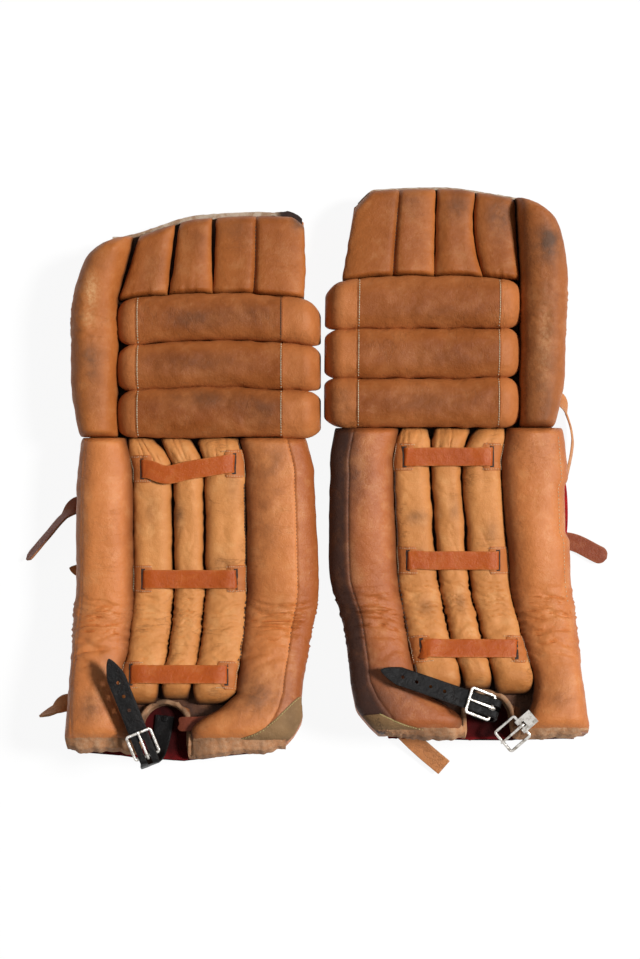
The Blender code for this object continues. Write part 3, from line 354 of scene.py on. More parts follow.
LEFT = Pad("left", -1, (-165.091, -379.257), 64.5, 281, 122.5, (0, 0), 0, (78.5, 26, -23),
           ((-150, 14), (-129, 1), (-83, 0), (-3, 4), (91, 31), (108.5, 35)),
           ((0, 0), (66, 8), (130, 0), (445, 0)), (0, -5))
RIGHT = Pad("right", 1, (184.109, -365.457), 68, 270, 133, (12, 6), 16, (82, 35, -21),
            ((-134, 26), (-107, 3), (-19, 0), (88, 14), (97.5, 16)),
            ((0, 0), (66, 10), (130, 1), (275, -8), (385, -15), (445, -16)), (25, 4))
PADS = (LEFT, RIGHT)


def rippled(seed, a, b, c=0.0):
    """Smooth noise from about -1 to 1, different for each seed."""
    return noise.noise(Vector((a + 17.3 * seed, b - 9.1 * seed, c + 3.7 * seed)))


def rounded_ring(corners, radius, corner_steps, edge_steps):
    """A closed ring through corners, each rounded off, with points along the edges between."""
    ring = []
    count = len(corners)
    for i, corner in enumerate(corners):
        before = corners[i - 1] - corner
        after = corners[(i + 1) % count] - corner
        start = corner + before.normalized() * min(radius, before.length * 0.45)
        end = corner + after.normalized() * min(radius, after.length * 0.45)
        for step in range(corner_steps + 1):
            t = step / corner_steps
            ring.append((1 - t) ** 2 * start + 2 * t * (1 - t) * corner + t * t * end)
        following = corners[(i + 1) % count]
        reach = following + (corner - following).normalized() * min(radius, after.length * 0.45)
        for step in range(1, edge_steps[i % len(edge_steps)] + 1):
            ring.append(end.lerp(reach, step / (edge_steps[i % len(edge_steps)] + 1)))
    return ring


def lofted(rings, marks=None, closed=False):
    """A grid bent round rings of equally many points in millimetres, then closed at its seam and ends."""
    columns = len(rings[0])
    rows = len(rings) if closed else len(rings) - 1
    bm = bmesh.new()
    bmesh.ops.create_grid(bm, x_segments=columns, y_segments=rows, size=0.5)
    layers = {name: bm.verts.layers.float.new(name) for name in marks or {}}
    for vert in bm.verts:
        i = round((vert.co.x + 0.5) * columns) % columns
        j = round((vert.co.y + 0.5) * rows) % len(rings)
        vert.co = rings[j][i] * MM
        for name, layer in layers.items():
            vert[layer] = marks[name][j][i]
    bmesh.ops.remove_doubles(bm, verts=bm.verts, dist=0.002 * MM)
    bmesh.ops.holes_fill(bm, edges=[edge for edge in bm.edges if edge.is_boundary], sides=0)
    bmesh.ops.recalc_face_normals(bm, faces=bm.faces)
    return bm


def add_piece(name, bm, finish, body, replaced=()):
    """A finished piece of the pad, which rides on a body if one is named."""
    mesh = bpy.data.meshes.new(name)
    bm.to_mesh(mesh)
    bm.free()
    mesh.materials.append(finish.owner)
    mesh.shade_smooth()
    mesh.set_sharp_from_angle(angle=SHARP_ANGLE)
    piece = bpy.data.objects.new(name, mesh)
    bpy.context.scene.collection.objects.link(piece)
    if body:
        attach(piece, body)
    if replaced:
        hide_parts(*replaced)
    return piece


def cut(piece, *cutters):
    """Takes closed meshes out of a piece."""
    for bm in cutters:
        mesh = bpy.data.meshes.new("cutter")
        bm.to_mesh(mesh)
        bm.free()
        cutter = bpy.data.objects.new("cutter", mesh)
        bpy.context.scene.collection.objects.link(cutter)
        opening = piece.modifiers.new("opening", "BOOLEAN")
        opening.object = cutter
        opening.solver = "EXACT"
        bpy.context.view_layer.update()
        graph = bpy.context.evaluated_depsgraph_get()
        done = bpy.data.meshes.new_from_object(piece.evaluated_get(graph))
        piece.modifiers.clear()
        piece.data = done
        bpy.data.objects.remove(cutter)


class Surface(Finish):
    """A material of the pads, on Object coordinates in metres."""

    def __init__(self, name, roughness, metallic=0.0):
        super().__init__(bpy.data.materials.new(name))
        self.shader = self.tree.nodes["Principled BSDF"]
        self.shader.inputs["Roughness"].default_value = roughness
        self.shader.inputs["Metallic"].default_value = metallic
        self.at = self.add("TexCoord", {}, {}, "Object")

    def noise(self, scale, detail=4, rough=0.55, stretch=(1, 1, 1)):
        at = self.at
        if stretch != (1, 1, 1):
            at = self.add("Mapping", {}, {"Vector": self.at, "Scale": stretch})
        sockets = {"Vector": at, "Scale": scale, "Detail": detail, "Roughness": rough}
        return self.add("TexNoise", {}, sockets)

    def mark(self, name):
        return self.add("Attribute", {"attribute_name": name}, {}, "Fac")

    def mix(self, first, second, share):
        return self.add("Mix", {"data_type": "RGBA"}, {0: share, 6: first, 7: second}, 2)

    def colour(self, value):
        self.feed(self.shader.inputs["Base Color"], value)

    def roughness(self, value):
        self.feed(self.shader.inputs["Roughness"], value)

    def bump(self, height, distance, under=None):
        sockets = {"Strength": 1, "Distance": distance, "Height": height}
        if under:
            sockets["Normal"] = under
        bumped = self.add("Bump", {}, sockets)
        self.feed(self.shader.inputs["Normal"], bumped)
        return bumped


def worn_leather(name, main, deep, pale, crack_stretch, cracks=0.3, gloss=0.50, shine=0.22, mottle=0.26,
                 blotch=0.17):
    """Old oiled leather: mottled, darker where it was soiled, cracked across and paler where it was rubbed,
    with painted shade in its slits, valleys and shadowed places.

    Its meshes carry painted shade (deep in slits and valleys and in shadowed places, with some soiling),
    soot (dark smudges), scuff (pale rubs) and tint (browner, and painted shade on some rolls)."""
    leather = Surface(name, gloss)
    leather.shader.inputs["Specular IOR Level"].default_value = shine
    broad = leather.noise(11, 3)
    cloudy = leather.noise(42, 6, 0.62)
    speckled = leather.noise(190, 5, 0.65)
    shade_and_grime = leather.mark("shade_and_grime")
    soot = leather.mark("soot")
    scuff = leather.mark("scuff")
    tint = leather.mark("tint")
    shade = mottle * (broad.between(0.30, 0.70) - 0.3) + 0.16 * (cloudy.between(0.38, 0.70) - 0.3)
    colour = leather.mix(main, deep, shade + 0.9 * tint)
    light = blotch * cloudy.between(0.52, 0.30) + 0.12 * speckled.between(0.55, 0.75)
    colour = leather.mix(colour, pale, light)
    rubbed = scuff * (0.35 + 0.9 * speckled.between(0.38, 0.62))
    colour = leather.mix(colour, pale, rubbed.most(0.9))
    lines = leather.noise(34, 5, 0.6, crack_stretch) - 0.5
    thin = lines.math("ABSOLUTE", lines, 0).between(0.028, 0.0)
    patchy = leather.noise(16, 2).between(0.48, 0.66)
    crack = thin * patchy * cracks
    colour = leather.mix(colour, GRIME_AND_SHADE, 0.5 * crack)
    smudge = soot * (0.48 + 0.75 * cloudy.between(0.30, 0.66)) * (0.75 + 0.4 * speckled)
    colour = leather.mix(colour, SOOT, smudge.most(0.85))
    # Painted shade: darker deep in the slits, in valleys and in shadowed places, with some soiling there
    # too.
    shade_share = shade_and_grime * (0.75 + 0.5 * cloudy)
    colour = leather.mix(colour, GRIME_AND_SHADE, shade_share.most(0.96))
    leather.colour(colour)
    leather.roughness(gloss - 0.10 + 0.26 * cloudy + 0.12 * scuff + 0.15 * shade_and_grime)
    pores = leather.noise(1500, 2, 0.6)
    pebbles = leather.add("TexVoronoi", {"feature": "F1"}, {"Vector": leather.at, "Scale": 900})
    fine = leather.bump(pores * 0.35 + pebbles * 0.35 + speckled * 0.8 - 1.4 * crack, 0.0006)
    leather.bump(cloudy, 0.0022, fine)
    return leather


TAN_LEATHER = worn_leather("tan_leather_worn", TAN, TAN_DEEP, TAN_PALE, (0.5, 1.6, 1), 0.2, 0.44, 0.28)


def channel_rings(pad, walls, stations, notches, along):
    """Rings of a back with its side walls. A notch lifts the outer wall's foot where a strap passes."""
    rings = []
    marks = []
    ceiling = BACK_HEIGHT - PANEL_THICKNESS
    for station in stations:
        corners = []
        for side, inwards, w in ((0, 0, 0), (0, 0, BACK_HEIGHT), (1, 0, BACK_HEIGHT), (1, 0, 0),
                                 (1, WALL_THICKNESS, 0), (1, WALL_THICKNESS, ceiling),
                                 (0, -WALL_THICKNESS, ceiling), (0, -WALL_THICKNESS, 0)):
            v = along(station, (120, -140)[side], w)
            if w == 0:
                w = wall_bottom(v)
                if side == 0 and any(abs(v - notch) < NOTCH_HALF for notch in notches):
                    w += STRAP_SLOT_HEIGHT
            corners.append(Vector((walls(v)[side] + inwards, 0, w)))
        ring = []
        flat = [(u, along(station, u, w), w)
                for u, v, w in rounded_ring(corners, 5, 3, (6, 18, 6, 2, 6, 18, 6, 2))]
        for u, v, w in flat:
            dent = 0.7 * rippled(3, u / 30, v / 30, w / 18) + 0.4 * rippled(5, u / 9, v / 9, w / 9)
            outward = math.copysign(1, u) if abs(u) > 100 and w < BACK_HEIGHT - 3 else 0
            ring.append(pad.place(u + outward * dent, v, w))
        rings.append(ring)
        # Painted shade: the back is a little darker all over and much darker on its top face, in shadow
        # between the rolls.
        marks.append([0.12 + 0.8 * (w > BACK_HEIGHT - 1) for u, v, w in flat])
    return rings, {"shade_and_grime": marks}


def station_list(start, end, pitch, notches):
    """Places from start to end, close together at both sides of each notch."""
    count = round((end - start) / pitch)
    places = set(spaced(start, end, count))
    for notch in notches:
        places |= {notch + half + shift for half in (-NOTCH_HALF, NOTCH_HALF) for shift in (-0.4, 0.4)}
    return sorted(places)


def arch_outline(inset, foot, steps):
    """The toe arch in (u, v), from its inner foot over its crown to its outer foot."""
    radius = ARCH_WIDTH / 2 - inset
    spring = ARCH_HEIGHT - ARCH_WIDTH / 2
    turns = [math.pi * (1 - step / steps) for step in range(steps + 1)]
    crown = [(ARCH_CENTRE + radius * math.cos(turn), spring + radius * math.sin(turn)) for turn in turns]
    sides = max(1, round((spring - foot) / 4))
    legs = spaced(foot, spring, sides)[:-1]
    return ([(ARCH_CENTRE - radius, v) for v in legs] + crown
            + [(ARCH_CENTRE + radius, v) for v in reversed(legs)])


for pad in PADS:
    notches = [CALF_STRAP_PLACES[pad.name]] + [ANKLE_STRAP_PLACE] * (pad is LEFT)
    places = station_list(0, SHIN_LENGTH - CLEARANCE / 2, 6, notches)
    rings, marks = channel_rings(pad, shin_walls, places, notches, lambda station, u, w: station)
    back = pad.add("shin_back", lofted(rings, marks), TAN_LEATHER, "shin", "tan_leather", "shin_back_panel")
    outline = arch_outline(0, ARCH_FOOT, 16)
    cut(back, lofted([[pad.place(u, v, w) for u, v in outline] for w in ARCH_CUT_LEVELS]))
    slope = math.tan(KNEE_FLEX_ROOM)

    def thigh_along(share, u, w, pad=pad):
        start = SHIN_LENGTH + CLEARANCE / 2 + (BACK_HEIGHT - w) * slope
        return start + (pad.top(u) - start) * share

    shares = spaced(0, 1, 48)
    rings, marks = channel_rings(pad, pad.thigh_walls, shares, (KNEE_STRAP_PLACE,), thigh_along)
    pad.add("thigh_back", lofted(rings, marks), TAN_LEATHER, "thigh", "tan_leather", "thigh_back_panel")


# The felt. Red wool felt lines the channel and shows past the toe, most of all below the arch. A strip
# of it also shows along the outer side, where the roll's seam has opened.
FELT_THICKNESS = 5
FELT_REACH = 8
FELT_BELLIES = {"left": 11, "right": 2}
FELT_STRIPS = {"left": (296, 346, 1.5), "right": (295, 369, 1)}
FELT_STRIP_LEVELS = (34, 56.6, 59)
FELT_RED = (0.36, 0.012, 0.014, 1)
FELT_DARK = (0.09, 0.004, 0.004, 1)
# Painted shadow: the felt turns near black in the arch and along the toe edge.
FELT_SHADOW = (0.006, 0.001, 0.001, 1)
FELT = Surface("red_felt_worn", 0.95)
matted = FELT.noise(60, 5, 0.65)
fuzz = FELT.noise(900, 3, 0.7)
red = FELT.mix(FELT_RED, FELT_DARK, 0.6 * matted.between(0.42, 0.66) + 0.35 * fuzz.between(0.45, 0.7))
# The felt goes near black where its shadow is painted.
FELT.colour(FELT.mix(red, FELT_SHADOW, FELT.mark("shade_and_grime")))
FELT.bump(fuzz + matted, 0.0012)
FELT.shader.inputs["Sheen Weight"].default_value = 0.05
FELT.shader.inputs["Specular IOR Level"].default_value = 0.1


def toe_belly(u):
    """The toe edge bows out most at the arch."""
    return bell(u, ARCH_CENTRE, 75)


for pad in PADS:
    top = BACK_HEIGHT - PANEL_THICKNESS - CLEARANCE
    rings = []
    dark = []
    for station in station_list(-FELT_REACH, SHIN_LENGTH - CLEARANCE / 2, 6, ()):
        outer, inner = shin_walls(station)
        outer -= WALL_THICKNESS + CLEARANCE
        inner += WALL_THICKNESS + CLEARANCE
        corners = [Vector((u, station, w)) for u, w in ((outer, top - FELT_THICKNESS), (outer, top),
                                                       (inner, top), (inner, top - FELT_THICKNESS))]
        ring = []
        flat = rounded_ring(corners, 1.8, 3, (1, 40, 1, 40))
        # Painted shadow, weaker along the toe edge and strongest in the arch.
        dark.append([max(0.55 * (v < 12), 0.93 * toe_belly(u) * clamped((v + 9) / 5)) for u, v, w in flat])
        for u, v, w in flat:
            w += 0.5 * rippled(11, u / 14, v / 14) * (w < top - 2)
            reach = FELT_BELLIES[pad.name] * toe_belly(u) - 2.2 * rippled(13, u / 7, 0.0)
            reach -= 4 * (pad is RIGHT)
            reach += 4 * bell(u, -20, 50) * (pad is LEFT)
            ring.append(pad.place(u, v - reach * max(0.0, -v / FELT_REACH), w))
        rings.append(ring)
    lining = pad.add("felt", lofted(rings, {"shade_and_grime": dark}), FELT, "shin", "red_felt", "felt_lining")
    start, end, proud = FELT_STRIPS[pad.name]
    low, ledge, high = FELT_STRIP_LEVELS
    rings = []
    for station in station_list(start, end, 4, ()):
        swell = math.sin(math.pi * (station - start) / (end - start)) ** 0.5
        at = outer_edge(station) - EDGE_INSET + 0.4
        edge = at + 1 + (2 + proud) * swell
        corners = [Vector((u, station, w)) for u, w in (
            (at, low), (edge - 1, low), (edge, high), (at - 9, high), (at - 9, ledge), (at, ledge))]
        rings.append([pad.place(u, v, w + 0.8 * rippled(17, v / 9, w / 9) * (w < 56))
                      for u, v, w in rounded_ring(corners, 1.2, 2, (1, 3, 2, 1, 2, 3))])
    pad.add("felt_strip", lofted(rings), FELT, "shin", "red_felt")


# The side rolls of the shin. Long leather tubes, stuffed hard with deer hair and sewn to the back, the
# outer one from toe to knee and the inner one beside the shin rolls. They crease where the boot bends.
ARC_STEPS = 36
FLANK_STEPS = 4
BASE_STEPS = 6
BASE_DRAW = 0.9
STATION_PITCH = 2.6
SIDE_SHAPE = (0.34, 0.84)
TOE_END = (18, 0.97, 0.36)
BREAK_END = (9, 0.96, 0.62)
SEAM_SPREAD = 0.035
OPENED_SEAM = (302, 360, 16)
OVERHANGS = {"left": 2, "right": 7}
OVERHANG_START = 375
outer_roll_rise = smooth_curve((0, 50), (120, 56), (300, 64), (445, 58))
inner_roll_rise = smooth_curve((0, 46), (120, 52), (300, 60), (445, 54))


def window(value, low, high, ease):
    """1 between low and high, easing to 0 outside."""
    t = min((value - low) / ease + 1, (high - value) / ease + 1, 1.0)
    return max(0.0, t) ** 2 * (3 - 2 * max(0.0, t))


def signed_power(value, power):
    return math.copysign(abs(value) ** power, value)


class Roll:
    """A stuffed roll on a pad: along v, or along u where it is lying, between its borders.

    Its shape is how high its flanks stand, as a share of its height, and how round its crown is. Each end
    draws in over a length to shares of the width and height."""

    def __init__(self, pad, span, borders, rise, shape, ends, lying=False, follow=None):
        self.pad = pad
        self.span = span
        self.borders = borders
        self.rise = rise
        self.flank, self.roundness = shape
        self.ends = ends
        self.lying = lying
        self.follow = follow
        # Painted shade deep in the slits: how much on each side, and how far up the flanks it reaches.
        self.slit_shade_sides = (1.0, 1.0)
        self.reach = 0.22
        self.lines = ()
        self.extra_places = ()
        self.dents = []
        self.smudges = []
        self.rubs = []
        # Browner tints, and painted shade on some rolls; then painted shadows and valley shading.
        self.tints_and_shades = []
        self.painted_shades = []

    def crown(self, across):
        """The share of the height that the skin reaches at this share of the half width."""
        rest = max(0.0, 1 - abs(across) ** (2 / self.roundness)) ** (self.roundness / 2)
        return self.flank + (1 - self.flank) * rest

    def section(self):
        """(share of the half width, share of the height) round the roll: its crown, flanks and flat base.
        The crown's points are evenly spaced, with more of them at each of the roll's lines."""
        turns = [math.cos(math.pi * step / 400) for step in range(401)]
        curve = [(across, self.crown(across))
                 for across in (signed_power(turn, self.roundness) for turn in turns)]
        lengths = [0.0]
        for before, after in zip(curve, curve[1:]):
            lengths.append(lengths[-1] + math.dist(before, after))
        points = [curve[bisect.bisect_left(lengths, 0.999999 * lengths[-1] * step / ARC_STEPS)]
                  for step in range(ARC_STEPS + 1)]
        points += [(line + shift, self.crown(line + shift)) for line in self.lines
                   for shift in (-0.09, -0.05, -0.025, 0, 0.025, 0.05, 0.09)]
        points.sort(reverse=True)
        flank = []
        for step in range(1, FLANK_STEPS + 1):
            angle = math.pi / 2 * step / FLANK_STEPS
            flank.append((1 - (1 - BASE_DRAW) * (1 - math.cos(angle)), self.flank * (1 - math.sin(angle))))
        points += [(-across, share) for across, share in flank]
        points += [(BASE_DRAW * (2 * step / BASE_STEPS - 1), 0.0) for step in range(1, BASE_STEPS)]
        return points + flank[::-1]

    def drawn(self, place):
        """The shares of width and height that are left near an end."""
        wide = tall = 1.0
        for end, (length, width, height) in zip(self.span, self.ends):
            near = min(abs(place - end) / length, 1.0)
            full = math.sqrt(1 - (1 - near) ** 2)
            wide *= width + (1 - width) * full
            tall *= height + (1 - height) * full
        return wide, tall

    def flat(self, across, share, place):
        """(u, v, w) on the roll's skin, with its dents, and the share of height that is left."""
        low, high = self.borders(place)
        wide, tall = self.drawn(place)
        half = (high - low - SEAM_GAP) / 2 * wide
        upper = clamped((share - 0.12) / 0.5)
        push = sum(dent(across, place) for dent in self.dents) * upper
        side = (low + high) / 2 + half * across + math.copysign(min(push, 0.0) * abs(across) ** 4, across)
        w = BACK_HEIGHT + CLEARANCE + self.rise(place) * tall * share + push * (1 - 0.6 * abs(across) ** 4)
        u, v = (place, side) if self.lying else (side, place)
        if self.follow:
            v = self.follow(u, v)
        return u, v, w, share * (0.5 + 0.5 * tall)

    def on(self, across, place, lift=0.0):
        """A point on the roll's upper skin, or this far above it."""
        at = self.pad.place(*self.flat(across, self.crown(across), place)[:3])
        return at + self.normal(across, place) * lift if lift else at

    def normal(self, across, place):
        reach = self.on(across + 0.03, place) - self.on(across - 0.03, place)
        run = self.on(across, place + 1.5) - self.on(across, place - 1.5)
        out = reach.cross(run).normalized()
        return out if out.z > 0 else -out

    def across(self, side, place):
        """The share of the half width at this u, or at this v where the roll is lying."""
        low, high = self.borders(place)
        return (2 * side - low - high) / (high - low - SEAM_GAP) / self.drawn(place)[0]

    def places(self):
        start, end = self.span
        first, last = self.ends[0][0], self.ends[1][0]
        steps = []
        for turn in range(6):
            share = 1 - math.cos(math.pi / 2 * turn / 6)
            steps += [start + first * share, end - last * share]
        length = end - start - first - last
        count = round(length / STATION_PITCH)
        steps += [start + first + length * i / count for i in range(count + 1)]
        return sorted({*steps, *self.extra_places})

    def mesh(self):
        section = self.section()
        rings = []
        marks = {"shade_and_grime": [], "soot": [], "scuff": [], "tint": []}
        for place in self.places():
            spots = [self.flat(across, share, place) for across, share in section]
            rings.append([self.pad.place(*at[:3]) for at in spots])
            # Painted shade: darker deeper in a slit, plus the painted shadows and valley shading.
            slit_shade = [clamped((self.flank + self.reach - at[3]) / 0.2) for at in spots]
            marks["shade_and_grime"].append([
                shade_share * self.slit_shade_sides[across > 0] + sum(painted_shade(across, place) for painted_shade in self.painted_shades)
                for shade_share, (across, share) in zip(slit_shade, section)])
            marks["tint"].append([sum(tint(across, place) for tint in self.tints_and_shades)
                                  for across, share in section])
            for name, spread in (("soot", self.smudges), ("scuff", self.rubs)):
                marks[name].append([min(1.0, sum(amount(*at[:2]) for amount in spread)) for at in spots])
        return lofted(rings, marks)

    def dress(self, name, finish, body, slot, softness):
        """Adds the roll's stuffed cover in place of its solid."""
        cover = self.pad.add(f"{name}_cover", self.mesh(), finish, body, slot, name)


def spot(u, v, reach_u, reach_v, strength):
    """A soft-edged mark on a roll."""
    return lambda at_u, at_v: strength * math.exp(
        -((at_u - u) / reach_u) ** 2 - ((at_v - v) / reach_v) ** 2)


def lumpy(seed, size, depth):
    """Broad lumps in the stuffing."""
    return lambda across, place: depth * (rippled(seed, place / size, across * 1.3) - 0.3)


def creased(seed, low, high, ease, pitch, depth, spread=1.6):
    """Sharp creases across the roll, between two places along it."""

    def dent(across, place):
        near = window(place, low, high, ease)
        if near == 0:
            return 0.0
        wander = 0.9 * rippled(seed + 1, across * 1.5, place / 60)
        line = abs(rippled(seed, place / pitch + wander, across * spread))
        return -depth * near * max(0.0, 1 - line / 0.32) ** 1.5

    return dent


def puckered(seed, low, high, ease, pitch, depth):
    """Gathers along the roll's two edges, where its seam was drawn tight."""

    def dent(across, place):
        near = window(place, low, high, ease) * clamped((abs(across) - 0.45) / 0.5)
        if near == 0:
            return 0.0
        return -depth * near * (0.5 + rippled(seed, place / pitch, math.copysign(2, across)))

    return dent


def seamed(place, depth):
    """A seam along the roll, at this share of its half width."""
    return lambda across, at: -depth * bell(across, place, SEAM_SPREAD)


def shaded(middle, edges, sharp=2.5):
    """A tint that changes from the roll's middle to its two edges."""
    return lambda across, place: middle + (edges - middle) * abs(across) ** sharp


INNER_SEAM = -0.43
OUTER_SEAM = 0.72
SIDE_SMUDGES = {
    ("left", "outer"): [spot(139, 44, 15, 20, 0.75), spot(120, 100, 12, 16, 0.25)],
    ("left", "inner"): [spot(-106, 420, 24, 44, 0.36), spot(-100, 330, 20, 70, 0.28),
                        spot(-78, 64, 52, 36, 0.6), spot(-112, 200, 20, 30, 0.25)],
    ("right", "outer"): [spot(140, 60, 22, 30, 0.2), spot(130, 40, 20, 16, 0.2),
                         spot(120, 425, 40, 30, 0.14)],
    ("right", "inner"): [spot(-128, 385, 17, 48, 0.6), spot(-90, 50, 55, 32, 0.45)]}
SIDE_ROLLS = {}
for pad in PADS:
    span = (0, SHIN_LENGTH - SEAM_GAP / 2)
    draw = 2 if pad is LEFT else 4

    def outer_borders(v, pad=pad):
        opened = 6 * window(v, *OPENED_SEAM) if pad is RIGHT else 0
        return pad.roll_border(v, 0), outer_edge(v) - opened

    outer = Roll(pad, span, outer_borders, outer_roll_rise, SIDE_SHAPE, (TOE_END, BREAK_END))
    outer.slit_shade_sides = (1.0, 0.15)

    def inner_borders(v, pad=pad):
        near = max(0.0, (v - OVERHANG_START) / (SHIN_LENGTH - OVERHANG_START)) ** 1.5
        return inner_edge(v) - OVERHANGS[pad.name] * near, pad.roll_border(v, 3) + inner_toe_spread(v)

    inner = Roll(pad, span, inner_borders, inner_roll_rise, SIDE_SHAPE, (TOE_END, BREAK_END))
    inner.slit_shade_sides = (0.15, 1.0)
    for roll, seed, name, seam, depth in ((outer, 31 + draw, "outer", OUTER_SEAM, 0.9),
                                          (inner, 41 + draw, "inner", INNER_SEAM, 1.6)):
        roll.dents = [lumpy(seed, 70, 1.8), creased(seed, 115, 195, 40, 12, 3.2, 0.6),
                      creased(seed + 5, 125, 190, 25, 7, 2.2, 0.5),
                      creased(seed + 3, 0, SHIN_LENGTH, 5, 34, 0.8, 0.8),
                      puckered(seed, 0, SHIN_LENGTH, 10, 13, 1.1), seamed(seam, depth)]
        roll.lines = (seam,)
        # Painted shade: darker towards the edges and a little darker on the right pad; the valley beside the
        # shin rolls is shaded.
        roll.tints_and_shades = [shaded(0.15 * (pad is RIGHT), 0.7, 3)]
        valley = 1 if name == "inner" else -1
        roll.painted_shades = [lambda across, v, valley=valley:
                      0.75 * max(0.0, (across * valley - 0.66) / 0.34) ** 1.6]
        if (pad, name) == (RIGHT, "inner"):
            # Painted shadow: darker all over, near black on the side away from the lamp, and darker towards
            # the toe.
            roll.painted_shades.append(lambda across, v: 0.96 * clamped((0.14 - across) / 0.72) ** 1.7)
            roll.tints_and_shades = [shaded(0.85, 0.85, 4), lambda across, v: 0.3 * window(v, -10, 80, 60)]
        if (pad, name) == (LEFT, "inner"):
            roll.tints_and_shades.append(lambda across, v: 0.7 * (across < INNER_SEAM))
        roll.smudges = SIDE_SMUDGES[pad.name, name]
        SIDE_ROLLS[pad.name, name] = roll
        roll.dress(f"{name}_roll_lower", TAN_LEATHER, "shin", "tan_leather", 0.8)


# The toe bindings. A leather strip, folded over the toe edge and sewn, runs from corner to corner and round
# the arch. It wraps up over the ends of the side rolls. Skates and ice have worn it rough and grey.
BINDING_THICKNESS = 4
BINDING_HEIGHT = 20
FOLD_HEIGHT = 15
BINDING_LEATHER = worn_leather("binding_leather", (0.40, 0.172, 0.070, 1), (0.21, 0.085, 0.036, 1),
                               (0.54, 0.37, 0.235, 1), (1, 1, 1), 0.8, 0.7)


def toe_skin(pad, u, v):
    """How high the toe stands at a place: the side roll's skin, or a thick fold beside the arch."""
    roll = SIDE_ROLLS[pad.name, "outer" if u > ARCH_CENTRE else "inner"]
    across = roll.across(u, v)
    if abs(across) > 0.985 and abs(u - ARCH_CENTRE) < 80:
        return BACK_HEIGHT + FOLD_HEIGHT
    across = min(max(across, -0.96), 0.96)
    return max(roll.flat(across, roll.crown(across), v)[2], BACK_HEIGHT + FOLD_HEIGHT)


for pad in PADS:
    outer, inner = shin_walls(0)
    rows = []
    for inset in (CLEARANCE, CLEARANCE + BINDING_THICKNESS):
        arch = arch_outline(inset, -inset, 24)
        inner_run = [(u, -inset) for u in spaced(inner, arch[0][0], 60)[:-1]]
        outer_run = [(u, -inset) for u in spaced(outer, arch[-1][0], 44)[:-1]]
        rows.append(inner_run + arch + outer_run[::-1])
    low = BACK_HEIGHT - PANEL_THICKNESS + CLEARANCE
    rings = []
    worn = []
    dirty = []
    for back_at, front_at in zip(*rows):
        u, v = back_at
        on_arch = clamped((v + 2) / 12)
        wave = rippled(21 + pad.side, u / 9, v / 9)
        slow = rippled(25 + pad.side, u / 34, v / 34)
        fray = rippled(29 + pad.side, u / 3, v / 3)
        high = low + BINDING_HEIGHT + 2.5 * wave + 1.5 * fray
        outwards = Vector((u - ARCH_CENTRE, v - ARCH_HEIGHT + ARCH_WIDTH / 2, 0)).normalized()
        rim = (Vector((*back_at, 0)) + outwards * (3 + 1.5 * wave + fray)).xy
        round_arch = [Vector((*at, level)) for at, level in (
            (back_at, low), (front_at, low), (front_at, (low + high) / 2), (front_at, high),
            (back_at, high + 2.5), (rim, high + 1), (rim, high - 2), (back_at, high - 4))]
        corner = bell(u, outer, 14) + bell(u, inner, 14)
        sag = 5 + 4 * bell(u, -20, 50) if pad is LEFT else -4
        out = 4 * toe_belly(u) + 7 * slow + 3 * wave + sag - 7 * corner
        fold = 13 + 4 * wave + 1.5 * fray + 3 * slow
        top = toe_skin(pad, u, 3)
        folded = toe_skin(pad, u, fold)
        along_toe = [Vector((u, *at)) for at in (
            (-0.3, low), (-6 - out, low - 1), (-10 - out, low * 0.6 + top * 0.4), (-6 - out, top - 5),
            (1, top + 2.5), (fold, folded + 1.6), (fold, folded + 0.2), (1, top - 3))]
        corners = [flat.lerp(arched, on_arch) for flat, arched in zip(along_toe, round_arch)]
        flat = rounded_ring(corners, 2.6, 3, (1, 4, 4, 4, 4, 1, 3, 3))
        ring = []
        for x, y, z in flat:
            rough = (0.9 * rippled(23, x / 7, z / 7) + 0.5 * rippled(26, x / 2.5, z / 2.5)) * (z > low + 1)
            ring.append(pad.place(x, y - rough, z + 0.8 * rippled(27, x / 6, y / 6) * (z > low + 1)))
        rings.append(ring)
        worn.append([(0.30 + 0.15 * on_arch) * (0.7 + 0.9 * wave) + 0.4 * (z < low + 3)
                     for x, y, z in flat])
        dirty.append([max(0.0, 0.8 * slow + 0.05 + 0.45 * on_arch) for x, y, z in flat])
    pad.add("binding", lofted(rings, {"scuff": worn, "soot": dirty}), BINDING_LEATHER, "shin",
            "brown_leather", "toe_binding")


# The shin rolls. Three slimmer stuffed tubes of yellower leather down the shin, with deep slits between.
# They are cracked across, drawn into gathers at the ankle and splayed where the knee rolls press on them.
SHIN_ROLL_RISE = 44
SHIN_SHAPE = (0.52, 0.66)
SHIN_ENDS = ((26, 0.80, 0.25), (24, 0.84, 0.50))
SHIN_TOES = {"outer": 54, "center": 61, "inner": 54}
SHIN_SPLAY = {"left": (0, 15, 6, 0), "right": (0, 10, -9, 0)}
SPLAY_START = 398
PALE = (0.545, 0.220, 0.063, 1)
PALE_DEEP = (0.35, 0.118, 0.027, 1)
PALE_LIGHT = (0.74, 0.44, 0.19, 1)
PALE_LEATHER = worn_leather("pale_leather_worn", PALE, PALE_DEEP, PALE_LIGHT, (0.35, 1.9, 1), 0.42)
SHIN_SMUDGES = {
    ("left", "outer"): [spot(62, 345, 10, 30, 0.25)],
    ("left", "center"): [spot(24, 335, 8, 18, 0.6), spot(14, 250, 9, 16, 0.3)],
    ("left", "inner"): [spot(-34, 268, 14, 14, 0.35), spot(-50, 390, 9, 30, 0.3)],
    ("right", "outer"): [spot(58, 300, 12, 14, 0.3)],
    ("right", "center"): [spot(8, 330, 10, 16, 0.3), spot(10, 190, 10, 18, 0.35)],
    ("right", "inner"): [spot(-46, 320, 16, 10, 0.45), spot(-44, 270, 14, 8, 0.4),
                         spot(-40, 180, 16, 16, 0.3)]}
SHIN_ROLLS = {}
